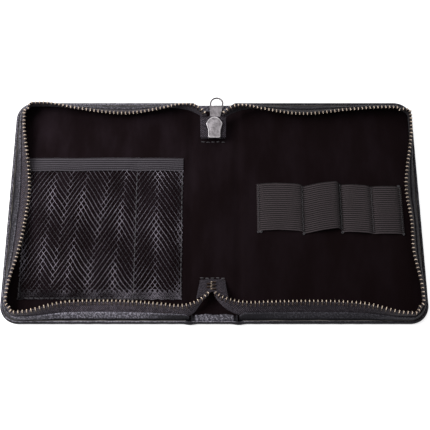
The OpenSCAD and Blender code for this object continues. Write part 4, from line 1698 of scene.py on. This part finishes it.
@dataclass
class PenLoops(Part):
    """The ribbed elastic band, sewn down into four loops on the right half."""

    seams: tuple[float, ...] = (28.7, 57.3, 82.1, 102.4, 121.2)
    width: float = 32.0
    middle: float = 0.2
    rises: tuple[float, ...] = (1.1, 3.2, 2.0, 1.1)
    crests: tuple[float, ...] = (1.0, 1.9, 1.15, 1.0)
    thick: float = 1.0
    rib_pitch: float = 1.37
    rib_h: float = 0.55
    seam_w: float = 0.9
    seam_dip: float = 0.35
    end: float = 1.0
    bar_count: int = 15
    bar_l: float = 1.6
    bar_slant: float = 0.25
    bar_r: float = 0.17
    bar_dim: float = 0.8
    knot_r: float = 0.85
    knot_turns: float = 1.4

    def drift(self, x: Array) -> Array:
        """How far the band has slipped along Y at x, since each loop was sewn down on its own."""
        places = [27.7, 28.9, 41.4, 56.3, 58.3, 81.1, 83.1, 101.5, 103.3, 122.2]
        return np.interp(x, places, [0.1, 0.1, 0.5, -0.2, -1.6, 1.3, -0.7, -1.8, -1.9, -2.0])

    def lift(self, x: Array, v: Array) -> tuple[Array, Array]:
        """Rise of the band over the lining at x, and the closeness to a seam, 1 on it.

        Args:
            x: Places across the case.
            v: Places across the band, 0 to 1.

        Returns:
            The rise and the closeness.
        """
        seams = np.array(self.seams)
        loop = np.clip(np.searchsorted(seams, x) - 1, 0, len(seams) - 2)
        free = seams[loop + 1] - seams[loop] - 2 * self.seam_w
        t = np.clip((x - seams[loop] - self.seam_w) / free, 0, 1)
        rise = np.array(self.rises)[loop] * arch(t ** np.array(self.crests)[loop])
        rise = rise * (1 + 0.07 * waves(x, v * self.width, (24.0, 15.0), 51))
        return rise, bell(np.min(np.abs(x[..., None] - seams), axis=-1), 0.0, 1.1)

    def band(self) -> Shell:
        """The band: an arch between each two seams, with ribs along it.

        Height is floor + rise, and the ribs are a rounded cosine across the band.

        Returns:
            The closed shell.
        """
        seams = np.array(self.seams)
        spans = [
            np.linspace(a + self.seam_w, b - self.seam_w, 26) for a, b in zip(seams[:-1], seams[1:])
        ]
        first, last = seams[0] - [self.end, 0.6, -0.2], [seams[-1] + self.end]
        x = np.sort(np.concatenate([first, *spans, seams[1:] - 0.4, seams[1:] + 0.3, last]))
        ribs = round(self.width / self.rib_pitch)
        v = np.linspace(0, 1, ribs * 6 + 1)
        gx, gv = np.meshgrid(x, v, indexing="ij")
        rise, near = self.lift(gx, gv)
        slip = self.drift(gx) * (1 - 0.15 * (gv - 0.5))
        y = self.middle + (gv - 0.5) * self.width + slip
        rib = 0.5 + 0.5 * np.cos(2 * np.pi * gv * ribs + np.pi)
        edge = np.minimum(gv, 1 - gv) * self.width
        base = SIZES.floor_z + 0.1 + rise
        top = base + self.thick - self.rib_h + self.rib_h * rib - self.seam_dip * near
        # Painted shade: the band is painted darker beside each seam, where its steep sides fall into shade
        strong = np.interp(gx, [27.5, *self.seams[1:4], 123], [0.5, 1.7, 1.9, 0.6, 0.8])
        painted_seam_shade = strong * near * (gx > seams[0] + 2)
        worn_and_painted_light = 0.35 * bell(edge, 0.0, 0.5) - painted_seam_shade + 0.7 * (gx < seams[0] - 0.3)
        return draped(gx, y, top, base, (gx, gv * self.width, worn_and_painted_light))

    def bars(self) -> Shell:
        """Bar stitches down each seam, slanting to the left and to the right in turn.

        Returns:
            The stitches as one shell.
        """
        count = self.bar_count
        t = np.linspace(-0.5, 0.5, 7)
        lean = self.bar_slant * np.where(np.arange(count) % 2, 1, -1)[:, None]
        y = self.middle + (np.arange(count) - (count - 1) / 2) * (self.width - 1.5) / count
        rows = []
        for x in self.seams:
            lines = np.zeros((count, len(t), 3))
            lines[..., 0] = x + lean * t * 2
            lines[..., 1] = y[:, None] + t * self.bar_l + self.drift(np.array(x))
            lines[..., 2] = SIZES.floor_z + self.thick - 0.10 + 0.25 * hump(t)
            rows.append(lines)
        made = strands(np.concatenate(rows), self.bar_r, 6)
        made.cloth[:, 2] = self.bar_dim
        return made

    def knots(self) -> Shell:
        """Knotted thread ends: small curls at the band's near edge and one at its far right corner.

        A curl is a circle that shrinks as it turns and rises: r(t) = knot_r (1 - 0.55 t).

        Returns:
            The curls as one shell.
        """
        places = np.array([
            [28.4, -16.6], [30.2, -16.3], [57.5, -17.6], [82.5, -17.0], [120.8, 14.6], [121.6, -18.0],
        ])
        t = np.linspace(0, 1, 22)
        start = np.arange(len(places))[:, None] * 2.1
        angle = start + t * 2 * np.pi * self.knot_turns
        r = self.knot_r * (1 - 0.55 * t)
        x = places[:, :1] + r * np.cos(angle)
        y = places[:, 1:] + r * 0.9 * np.sin(angle)
        z = SIZES.floor_z + 0.45 + 0.9 * t + 0 * angle
        return strands(np.stack([x, y, z], axis=-1), 0.2, 5)

    def stitches(self) -> Shell:
        """All the thread of the band."""
        return join([self.bars(), self.knots()])

    def build(self) -> None:
        """Makes the band and its seams."""
        nodes = ["elastic_band"], ["elastic_stitches"]
        band = self.piece("pen_loop_band", self.band(), "ribbed_elastic", nodes[0], THREAD_EDGE)
        seams = self.piece("pen_loop_seams", self.stitches(), "sewing_thread", nodes[1], THREAD_EDGE)
        for piece in (band, seams):
            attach(piece, Half.RIGHT.body)


@dataclass
class ZipTabs(Part):
    """The sewn tape tabs at both ends of the zip, with the closed chain on them."""

    seams_y: tuple[float, float] = (46.3, -46.7)
    near_x: float = -1.2
    far_x: float = -0.8
    near_fold_y: float = -48.5
    near_end_y: float = -61.2
    far_past: float = 7.8
    chain_far: int = 6
    chain_near: int = 5
    chain_wear: float = 0.62
    chain_half_w: float = 1.1
    stitch_pitch: float = 3.35
    stitch_l: float = 2.5
    stitch_z: float = 2.75
    stitch_h: float = 0.45
    stitch_r: float = 0.3

    def band(self, path: Array, widths: Array, seed: int, shade: float) -> Shell:
        """A flat tape along a path in the Y-Z plane, of changing width and darker by the shade.

        Args:
            path: Points of its middle line.
            widths: Its widths, evenly along the path.
            seed: Picks its waves.
            shade: How much darker it is, 0 to 1.

        Returns:
            The closed shell.
        """
        line = evenly(path, 0.6)
        share = lengths_along(line) / lengths_along(line)[-1]
        wide = np.interp(share, np.linspace(0, 1, len(widths)), widths)
        v = np.linspace(-0.5, 0.5, 25)
        x = wide[:, None] * v
        way = unit(np.gradient(line, axis=0))
        up = np.stack([0 * way[:, 0], -way[:, 2], way[:, 1]], axis=1) * np.sign(way[:, 1:2])
        sag = 0.12 * waves(x, line[:, 1:2] + 0 * x, (7.0, 4.0), seed)
        middle = line[:, None] + np.stack([x, 0 * x, sag], axis=-1)
        rounded = np.sqrt(np.clip(1 - (2 * np.abs(v)) ** 10, 0.04, 1))
        half_t = (SIZES.tape_t / 2 * rounded)[:, None]
        upper, lower = middle + up[:, None] * half_t, middle - up[:, None] * half_t
        cloth = np.stack([line[:, 1:2] + 0 * x, x, shade + 0 * x], axis=-1)
        return slab(upper, lower, cloth)

    def far(self) -> Shell:
        """The far tab: sewn flat, rising to the slider, then on each side of it.

        Returns:
            The closed shell.
        """
        z = SIZES
        neck_z = z.slider_z - z.slider_l / 2 * math.sin(z.tilt)
        end_y = z.slider_y + self.far_past
        end_z = z.slider_z + self.far_past * math.tan(z.tilt)
        ys = np.array([48.4, 49.0, 49.2, 48.4, 47.6, 48.0, z.slider_y, end_y])
        zs = np.array([2.75, 2.95, 4.2, 6.2, neck_z - 0.55, neck_z + 0.14, z.slider_z, end_z])
        path = np.stack([self.far_x + 0 * ys, ys, zs], axis=1)
        return self.band(path, np.array([16.9, 16.9, 16.9, 17.0, 17.0, 17.2]), 61, 0.0)

    def near(self) -> Shell:
        """The near tab: it comes out of the velvet, widening and rising to where the two tapes part.

        Returns:
            The closed shell.
        """
        ys = np.array([-47.0, -47.8, self.near_fold_y, -52.0, -56.6, self.near_end_y])
        zs = np.array([2.75, 2.95, 3.65, 5.6, 7.8, 8.0])
        path = np.stack([self.near_x + 0 * ys, ys, zs], axis=1)
        made = self.band(path, np.array([16.2, 16.4, 17.4, 18.6, 20.4]), 62, 0.5)
        # The end is cut back towards the middle, where the two rows of teeth meet
        x, y, z = made.points.T
        limit = -56.2 - 4.6 * np.clip(np.abs(x - self.near_x) / 9.8, 0, 1)
        fold = self.near_fold_y
        cut = fold + (y - fold) * (limit - fold) / (self.near_end_y - fold)
        short = np.where(y < fold, cut, y)
        rise = [np.interp(-v, -ys, zs) for v in (short, y)]
        return Shell(np.stack([x, short, z + rise[0] - rise[1]], axis=1), made.faces, made.cloth)

    def chain(self, start: Array, way: Array, up: Array, count: int) -> Shell:
        """Closed chain: teeth of the two tapes in turn, lying flat, their heads in the middle.

        Args:
            start: The first tooth's place.
            way: Along the chain.
            up: Out of its face.
            count: Teeth.

        Returns:
            The teeth as one shell.
        """
        side = np.cross(way, up)
        k = np.arange(count)
        sign = np.where(k % 2, 1.0, -1.0)[:, None]
        origins = start + way * (k * SIZES.tooth_pitch / 2)[:, None] + side * sign * self.chain_half_w
        above = -side * sign
        along = np.repeat(way[None], count, axis=0)
        row = copies(ZipWall.tooth(), origins, np.stack([along, np.cross(above, along), above], axis=2))
        row.cloth[:, 2] *= self.chain_wear
        return row

    def stitches(self) -> Shell:
        """Five long stitches across each tab's seam.

        Returns:
            The stitches as one shell.
        """
        t = np.linspace(-0.5, 0.5, 9)
        uneven = 0.12 * np.array([1, -1, 0, 1, -1])[:, None]
        row_x = ((np.arange(len(uneven)) - 2) * self.stitch_pitch)[:, None] + t * self.stitch_l
        rows = []
        for x, y in zip((self.far_x, self.near_x), self.seams_y):
            lines = np.zeros((*row_x.shape, 3))
            lines[..., 0] = row_x + x
            lines[..., 1] = y + uneven
            lines[..., 2] = self.stitch_z + self.stitch_h * hump(t)
            rows.append(lines)
        return strands(np.concatenate(rows), self.stitch_r, 6)

    def build(self) -> None:
        """Makes the tabs, their stitches and the closed chain, all on the spine."""
        z = SIZES
        slide = np.array([0.0, math.cos(z.tilt), math.sin(z.tilt)])
        start = np.array([0.0, z.slider_y, z.slider_z]) - slide * (z.slider_l / 2 - 0.9)
        lift = np.array([0.0, -slide[2], slide[1]])
        rise = math.atan2(4.3, 8.8)
        down = np.array([0.0, -math.cos(rise), math.sin(rise)])
        foot = np.array([self.near_x - 0.6, -50.0, 5.55])
        raised = np.array([0.0, down[2], -down[1]])
        far_chain = self.chain(start, slide, lift, self.chain_far)
        near_chain = self.chain(foot, down, raised, self.chain_near)
        made = (
            ("zip_tab_far_cloth", self.far(), "zip_tape", "zip_tab_far"),
            ("zip_tab_near_cloth", self.near(), "zip_tape", "zip_tab_near"),
            ("zip_chain_far", far_chain, "zip_brass", "zip_chain_start"),
            ("zip_chain_near", near_chain, "zip_brass", "zip_chain_end"),
            ("zip_tab_seams", self.stitches(), "sewing_thread", "tab_stitches"),
        )
        for name, shell, slot, node in made:
            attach(self.piece(name, shell, slot, [node], TAPE_EDGE), "spine")


@dataclass
class Slider(Part):
    """The nickel slider with its bail, and the pull that hangs in it."""

    gap: float = 2.9
    lower_tail: float = 0.48
    tail_from: float = -2.0
    pull_l: float = 20.1
    pull_at: tuple[float, float, float] = (0.0, 58.7373, 6.09594)
    pull_lean: float = 5.811
    askew: float = 6.0
    arch_r: float = 4.1
    plate_start: float = 2.4
    plate_end: float = 12.9
    plate_wear: float = -0.45

    @staticmethod
    def outline(count: int = 96) -> Array:
        """The plate's outline: a shield with a domed nose, full shoulders and a square tail.

        Args:
            count: Points round it.

        Returns:
            X and Y of each point.
        """
        corners = np.array([
            [0.0, 7.25], [1.57, 6.97], [2.94, 6.18], [3.75, 5.3], [4.35, 4.4], [5.2, 3.25],
            [5.45, 2.65], [5.25, 1.95], [4.7, 0.2], [4.0, -2.15], [4.0, -6.7], [3.6, -7.22],
            [0.0, -7.25],
        ])
        whole = np.concatenate([corners, (corners * [-1, 1])[::-1][1:-1]])
        closed = np.concatenate([whole, whole[:1]])
        fine = points_at(closed, np.linspace(0, lengths_along(closed)[-1], count + 1))[:-1]
        for _ in range(2):
            fine = 0.5 * fine + 0.25 * (np.roll(fine, 1, axis=0) + np.roll(fine, -1, axis=0))
        return fine

    def plate(self, face: int) -> Shell:
        """One plate: rings of the outline that draw in as the surface domes, towards face up or down.

        The lower plate's tail is shorter, which leaves room for the tab to turn down past it.

        Args:
            face: 1 for the upper plate and -1 for the lower one.

        Returns:
            The closed shell, in the slider's own frame.
        """
        line = self.outline()
        if face < 0:
            y, start = line[:, 1], self.tail_from
            line[:, 1] = np.where(y < start, (y - start) * self.lower_tail + start, y)
        inner = self.gap / 2
        steps = np.array([
            [0.93, 0.0], [0.985, 0.10], [1.0, 0.35], [1.0, 0.75], [0.985, 0.98], [0.955, 1.12],
            [0.90, 1.16], [0.84, 1.10], [0.78, 1.08], [0.6, 1.22], [0.4, 1.34], [0.2, 1.40],
        ])
        rings = np.zeros((len(steps), len(line), 3))
        rings[..., :2] = line * steps[:, :1, None]
        rings[..., 2] = face * (inner + steps[:, 1:2])
        cloth = np.zeros(rings.shape)
        # Painted highlight: a ring near the rim is painted light, partly as rubbing
        cloth[..., 2] = np.array([0, 0, 0, 0.2, 0.6, 0.95, 0.2, 0, 0, 0, 0, 0])[:, None]
        return tube(rings, cloth)

    def placed(self, shell: Shell) -> Shell:
        """A shell in the slider's own frame, tilted and put in its place."""
        c, s = math.cos(SIZES.tilt), math.sin(SIZES.tilt)
        turn = np.array([[1, 0, 0], [0, c, -s], [0, s, c]])
        return shell.moved(turn, [0, SIZES.slider_y, SIZES.slider_z])

    def flanges(self) -> Shell:
        """The side lips that keep the tapes in: a rounded bar along each side of both plates.

        Returns:
            The closed shell, in the slider's own frame.
        """
        shells = []
        turn = 2 * np.pi * np.arange(10) / 10
        for side in (-1, 1):
            for face in (-1, 1):
                y = np.linspace(-7.0, 0.6, 12)
                x = side * np.interp(y, [-7, -3, 0.6], [3.72, 3.85, 4.25])
                centre = np.stack([x, y, np.full_like(y, face * 1.05)], axis=1)
                ring = np.stack([0.3 * np.cos(turn), 0 * turn, 0.42 * np.sin(turn)], axis=1)
                shells.append(tube(centre[:, None] + ring, np.zeros((len(y), 10, 3))))
        return join(shells)

    def wedge(self) -> Shell:
        """The post between the two plates that parts the chain.

        Returns:
            The closed shell, in the slider's own frame.
        """
        turn = 2 * np.pi * np.arange(24) / 24
        z = np.linspace(-1.6, 1.6, 5)
        flare = 1 + 0.22 * (np.abs(z) / 1.6) ** 3
        x = 1.55 * np.cos(turn) * flare[:, None]
        y = 4.3 + 2.3 * np.sin(turn) * flare[:, None]
        points = np.stack([x, y, z[:, None] + 0 * turn], axis=-1)
        return tube(points, np.zeros(points.shape))

    def bail(self) -> Shell:
        """The flat loop under the outer plate that holds the pull.

        Returns:
            The closed shell, in the slider's own frame.
        """
        path = np.array([
            [0, 6.2, -2.5], [0, 6.15, -4.2], [0, 5.4, -4.95], [0, 2.75, -5.1],
            [0, 0.2, -4.95], [0, -0.65, -4.2], [0, -0.7, -2.5],
        ])
        line = smoothed(evenly(path, 0.25), 6)
        way = unit(np.gradient(line, axis=0))
        up = np.stack([0 * way[:, 0], -way[:, 2], way[:, 1]], axis=1)
        wide, thick = squarish(2 * np.pi * (np.arange(12) + 0.5) / 12, 0.55)
        profile = np.repeat(np.stack([wide, 0.38 * thick], axis=1)[None], len(line), axis=0)
        rings = sweep(line, np.broadcast_to([1.0, 0.0, 0.0], way.shape), up, profile)
        return tube(rings, np.zeros(rings.shape))

    def pull_frame(self) -> tuple[Array, Array]:
        """Origin and turn of the pull's own frame: X across, Y from the eye to the tip, Z out.

        Returns:
            The origin and the frame.
        """
        lean, yaw = math.radians(self.pull_lean), math.radians(self.askew)
        c, s = math.cos(lean), math.sin(lean)
        leaned = np.array([[1, 0, 0], [0, c, s], [0, -s, c]])
        c, s = math.cos(yaw), math.sin(yaw)
        return np.array(self.pull_at), leaned @ np.array([[c, s, 0], [-s, c, 0], [0, 0, 1]])

    @staticmethod
    def rod(wider: float, y: float, half_w: float, half_t: float) -> Shell:
        """A level rounded bar across the pull.

        Args:
            wider: Its length, as a multiple of 4.8 mm.
            y: Its place.
            half_w: Half its width.
            half_t: Half its thickness.

        Returns:
            The closed shell, in the pull's own frame.
        """
        ring = 2 * np.pi * np.arange(12) / 12
        x = wider * np.linspace(-2.4, 2.4, 9)[:, None]
        grid = np.broadcast_arrays(x, y + half_w * np.cos(ring), half_t * np.sin(ring))
        return tube(np.stack(grid, axis=-1), np.zeros((9, 12, 3)))

    def pull(self) -> Shell:
        """The pull: a stamped plate with a raised rim, narrow at its eye, ending in a round arch.

        The plate is a grid of half widths along Y; the arch and rim are one rounded bar carried
        along their own line, a little wider round the arch. One rod closes the eye, and another
        lies where the plate meets the arch.

        Returns:
            The shells of the pull, in its own frame.
        """
        start, end = self.plate_start, self.plate_end
        y = np.linspace(start, end, 20)
        half = np.interp(y, [start, 4.5, end], [2.75, 3.0, 4.0])
        v = np.linspace(-1, 1, 13)
        gx = half[:, None] * v
        dome = 0.30 + 0.08 * (1 - v**2)
        plate = draped(gx, y[:, None], dome, -dome, (0 * gx, 0.0, self.plate_wear))
        r = self.arch_r
        turn = np.linspace(0, np.pi, 25)
        top = np.stack([r * np.cos(turn), self.pull_l - r - 0.45 + r * np.sin(turn)], axis=1)
        right = np.array([[2.3, 0.2], [2.45, 1.4], [2.75, 2.6], [3.0, 4.6], [3.95, 12.4]])
        rim = np.concatenate([[[1.6, 0.0]], right, top, (right * [-1, 1])[::-1], [[-1.6, 0.0]]])
        line = np.zeros((len(rim), 3))
        line[:, :2] = rim
        line = smoothed(evenly(line, 0.3), 2)
        way = unit(np.gradient(line, axis=0))
        out = np.broadcast_to(UP, way.shape)
        side = np.cross(way, out)
        ring = 2 * np.pi * np.arange(12) / 12
        cos, sin = np.cos(ring), np.sin(ring)
        wider = 1 + 0.12 * ease((line[:, 1:2] - 12.0) / 2.5)
        profile = np.stack([0.48 * cos * wider, 0.58 * sin + 0 * wider], axis=-1)
        cloth = np.zeros((len(line), 12, 3))
        flat = 1 - ease((line[:, 1:2] - 11.5) / 1.5)
        rubbed = 0.5 * (sin < -0.4) + 0.25 * (np.abs(sin) <= 0.4)
        cloth[..., 2] = flat * rubbed - 1.0 * (1 - flat)
        rims = tube(sweep(line, side, out, profile), cloth)
        return join([plate, rims, self.rod(1.0, 0.0, 0.55, 0.55), self.rod(1.6, end, 0.45, 0.5)])

    def build(self) -> None:
        """Makes the slider on its body and the pull on its own."""
        body = join([self.plate(1), self.plate(-1), self.flanges(), self.wedge()])
        origin, turn = self.pull_frame()
        for name, shell, node, rides_on in (
            ("slider_plates", self.placed(body), "slider_body", "slider"),
            ("slider_loop", self.placed(self.bail()), "slider_bail", "slider"),
            ("pull_plate", self.pull().moved(turn, origin), "pull_tab", "pull"),
        ):
            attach(self.piece(name, shell, "slider_nickel", [node], SLIDER_EDGE), rides_on)


@dataclass
class Studio:
    """Camera, floor and lights."""

    eye: tuple[float, float, float] = (0.0, -0.1523, 0.4689)
    lens: float = 63.1
    shift: tuple[float, float] = (0.0016, -0.0133)
    floor_half_w: float = 3.0
    floor_drop: float = 0.00005
    floor_grey: float = 0.82
    floor_glow: float = 0.70
    sky: Colour = (0.96, 0.97, 1.0)
    sky_power: float = 0.27

    def camera(self) -> None:
        """A camera over the near side of the case, aimed at the middle of the spine."""
        data = bpy.data.cameras.new("camera")
        data.lens, data.sensor_width = self.lens, 36.0
        data.shift_x, data.shift_y = self.shift
        data.clip_start, data.clip_end = 0.05, 10.0
        camera = bpy.data.objects.new("camera", data)
        camera.location = self.eye
        camera.rotation_euler = (-Vector(self.eye)).to_track_quat("-Z", "Y").to_euler()
        bpy.context.scene.collection.objects.link(camera)
        bpy.context.scene.camera = camera

    def lamp(self, name: str, place: tuple[float, float, float], size: float, power: float) -> None:
        """A soft square light aimed at the case.

        Args:
            name: Its name.
            place: Where it stands, in metres.
            size: Its width.
            power: Its power in watts.
        """
        data = bpy.data.lights.new(name, "AREA")
        data.size, data.energy = size, power
        lamp = bpy.data.objects.new(name, data)
        lamp.location = place
        lamp.rotation_euler = (-Vector(place)).to_track_quat("-Z", "Y").to_euler()
        bpy.context.scene.collection.objects.link(lamp)

    def plain(self, graph: Graph) -> Wire:
        """1 where the camera, a reflection or glass sees the surface, and 0 for bounced light.

        Args:
            graph: The tree that it is for.

        Returns:
            The value.
        """
        path = graph.node("ShaderNodeLightPath", {}, {})
        kinds = ("Camera", "Glossy", "Transmission")
        seen = [Wire(graph, path.outputs[f"Is {kind} Ray"]) for kind in kinds]
        return graph.math("ADD", seen[0] + seen[1], seen[2], clamp=True)

    def floor(self) -> None:
        """A wide white floor that still takes the case's shadow."""
        graph = Graph.of_material("floor_white")
        grey, white = (*[self.floor_grey] * 3, 1.0), (1.0, 1.0, 1.0, 1.0)
        lit = graph.node("ShaderNodeBsdfDiffuse", {}, {"Color": grey})
        glow = graph.node("ShaderNodeEmission", {}, {"Color": white, "Strength": self.floor_glow})
        both = graph.node("ShaderNodeAddShader", {}, {0: lit.outputs[0], 1: glow.outputs[0]})
        inputs = {0: self.plain(graph), 1: lit.outputs[0], 2: both.outputs[0]}
        mixed = graph.node("ShaderNodeMixShader", {}, inputs)
        graph.node("ShaderNodeOutputMaterial", {}, {0: mixed.outputs[0]})
        r = self.floor_half_w
        mesh = bpy.data.meshes.new("floor")
        mesh.from_pydata([(-r, -r, 0), (r, -r, 0), (r, r, 0), (-r, r, 0)], [], [(0, 1, 2, 3)])
        mesh.materials.append(graph.owner)
        floor = bpy.data.objects.new("floor", mesh)
        floor.location.z = -self.floor_drop
        bpy.context.scene.collection.objects.link(floor)

    def world(self) -> None:
        """White behind the case, and a plain grey sky that lights it."""
        world = bpy.data.worlds.new("studio")
        bpy.context.scene.world = world
        graph = Graph(world)
        sky = graph.node("ShaderNodeBackground", {}, {0: (*self.sky, 1.0), 1: self.sky_power})
        white = graph.node("ShaderNodeBackground", {}, {0: (1.0, 1.0, 1.0, 1.0), 1: 1.0})
        inputs = {0: self.plain(graph), 1: sky.outputs[0], 2: white.outputs[0]}
        mixed = graph.node("ShaderNodeMixShader", {}, inputs)
        graph.node("ShaderNodeOutputWorld", {}, {0: mixed.outputs[0]})

    def build(self) -> None:
        """Sets up the whole studio."""
        scene = bpy.context.scene
        scene.view_settings.view_transform = "Standard"
        self.camera()
        self.floor()
        self.world()
        self.lamp("key", (-0.40, 0.04, 0.42), 0.30, 2.9)
        self.lamp("far_fill", (0.10, 0.65, 0.75), 0.6, 2.2)


def dress_cad(frame: dict[str, Any], finishes: Finishes) -> None:
    """Gives every CAD node the finish of its slot.

    Args:
        finishes: The materials, by slot.
    """
    for entry in frame["record"]["subparts"]:
        node = frame["nodes"][entry["node"]]
        node.data.materials.clear()
        node.data.materials.append(finishes[entry["material_slot"]])


def main() -> None:
    """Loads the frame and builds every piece."""
    logging.basicConfig(level=logging.INFO, format="%(name)s %(message)s")
    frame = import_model()
    Studio().build()
    finishes = all_finishes()
    dress_cad(frame, finishes)
    for part in (Cover, Lining, ZipWall, NetPocket, PenLoops, ZipTabs, Slider):
        part(finishes).build()
        LOG.info("%s done", part.__name__)


if __name__ == "__main__":
    main()
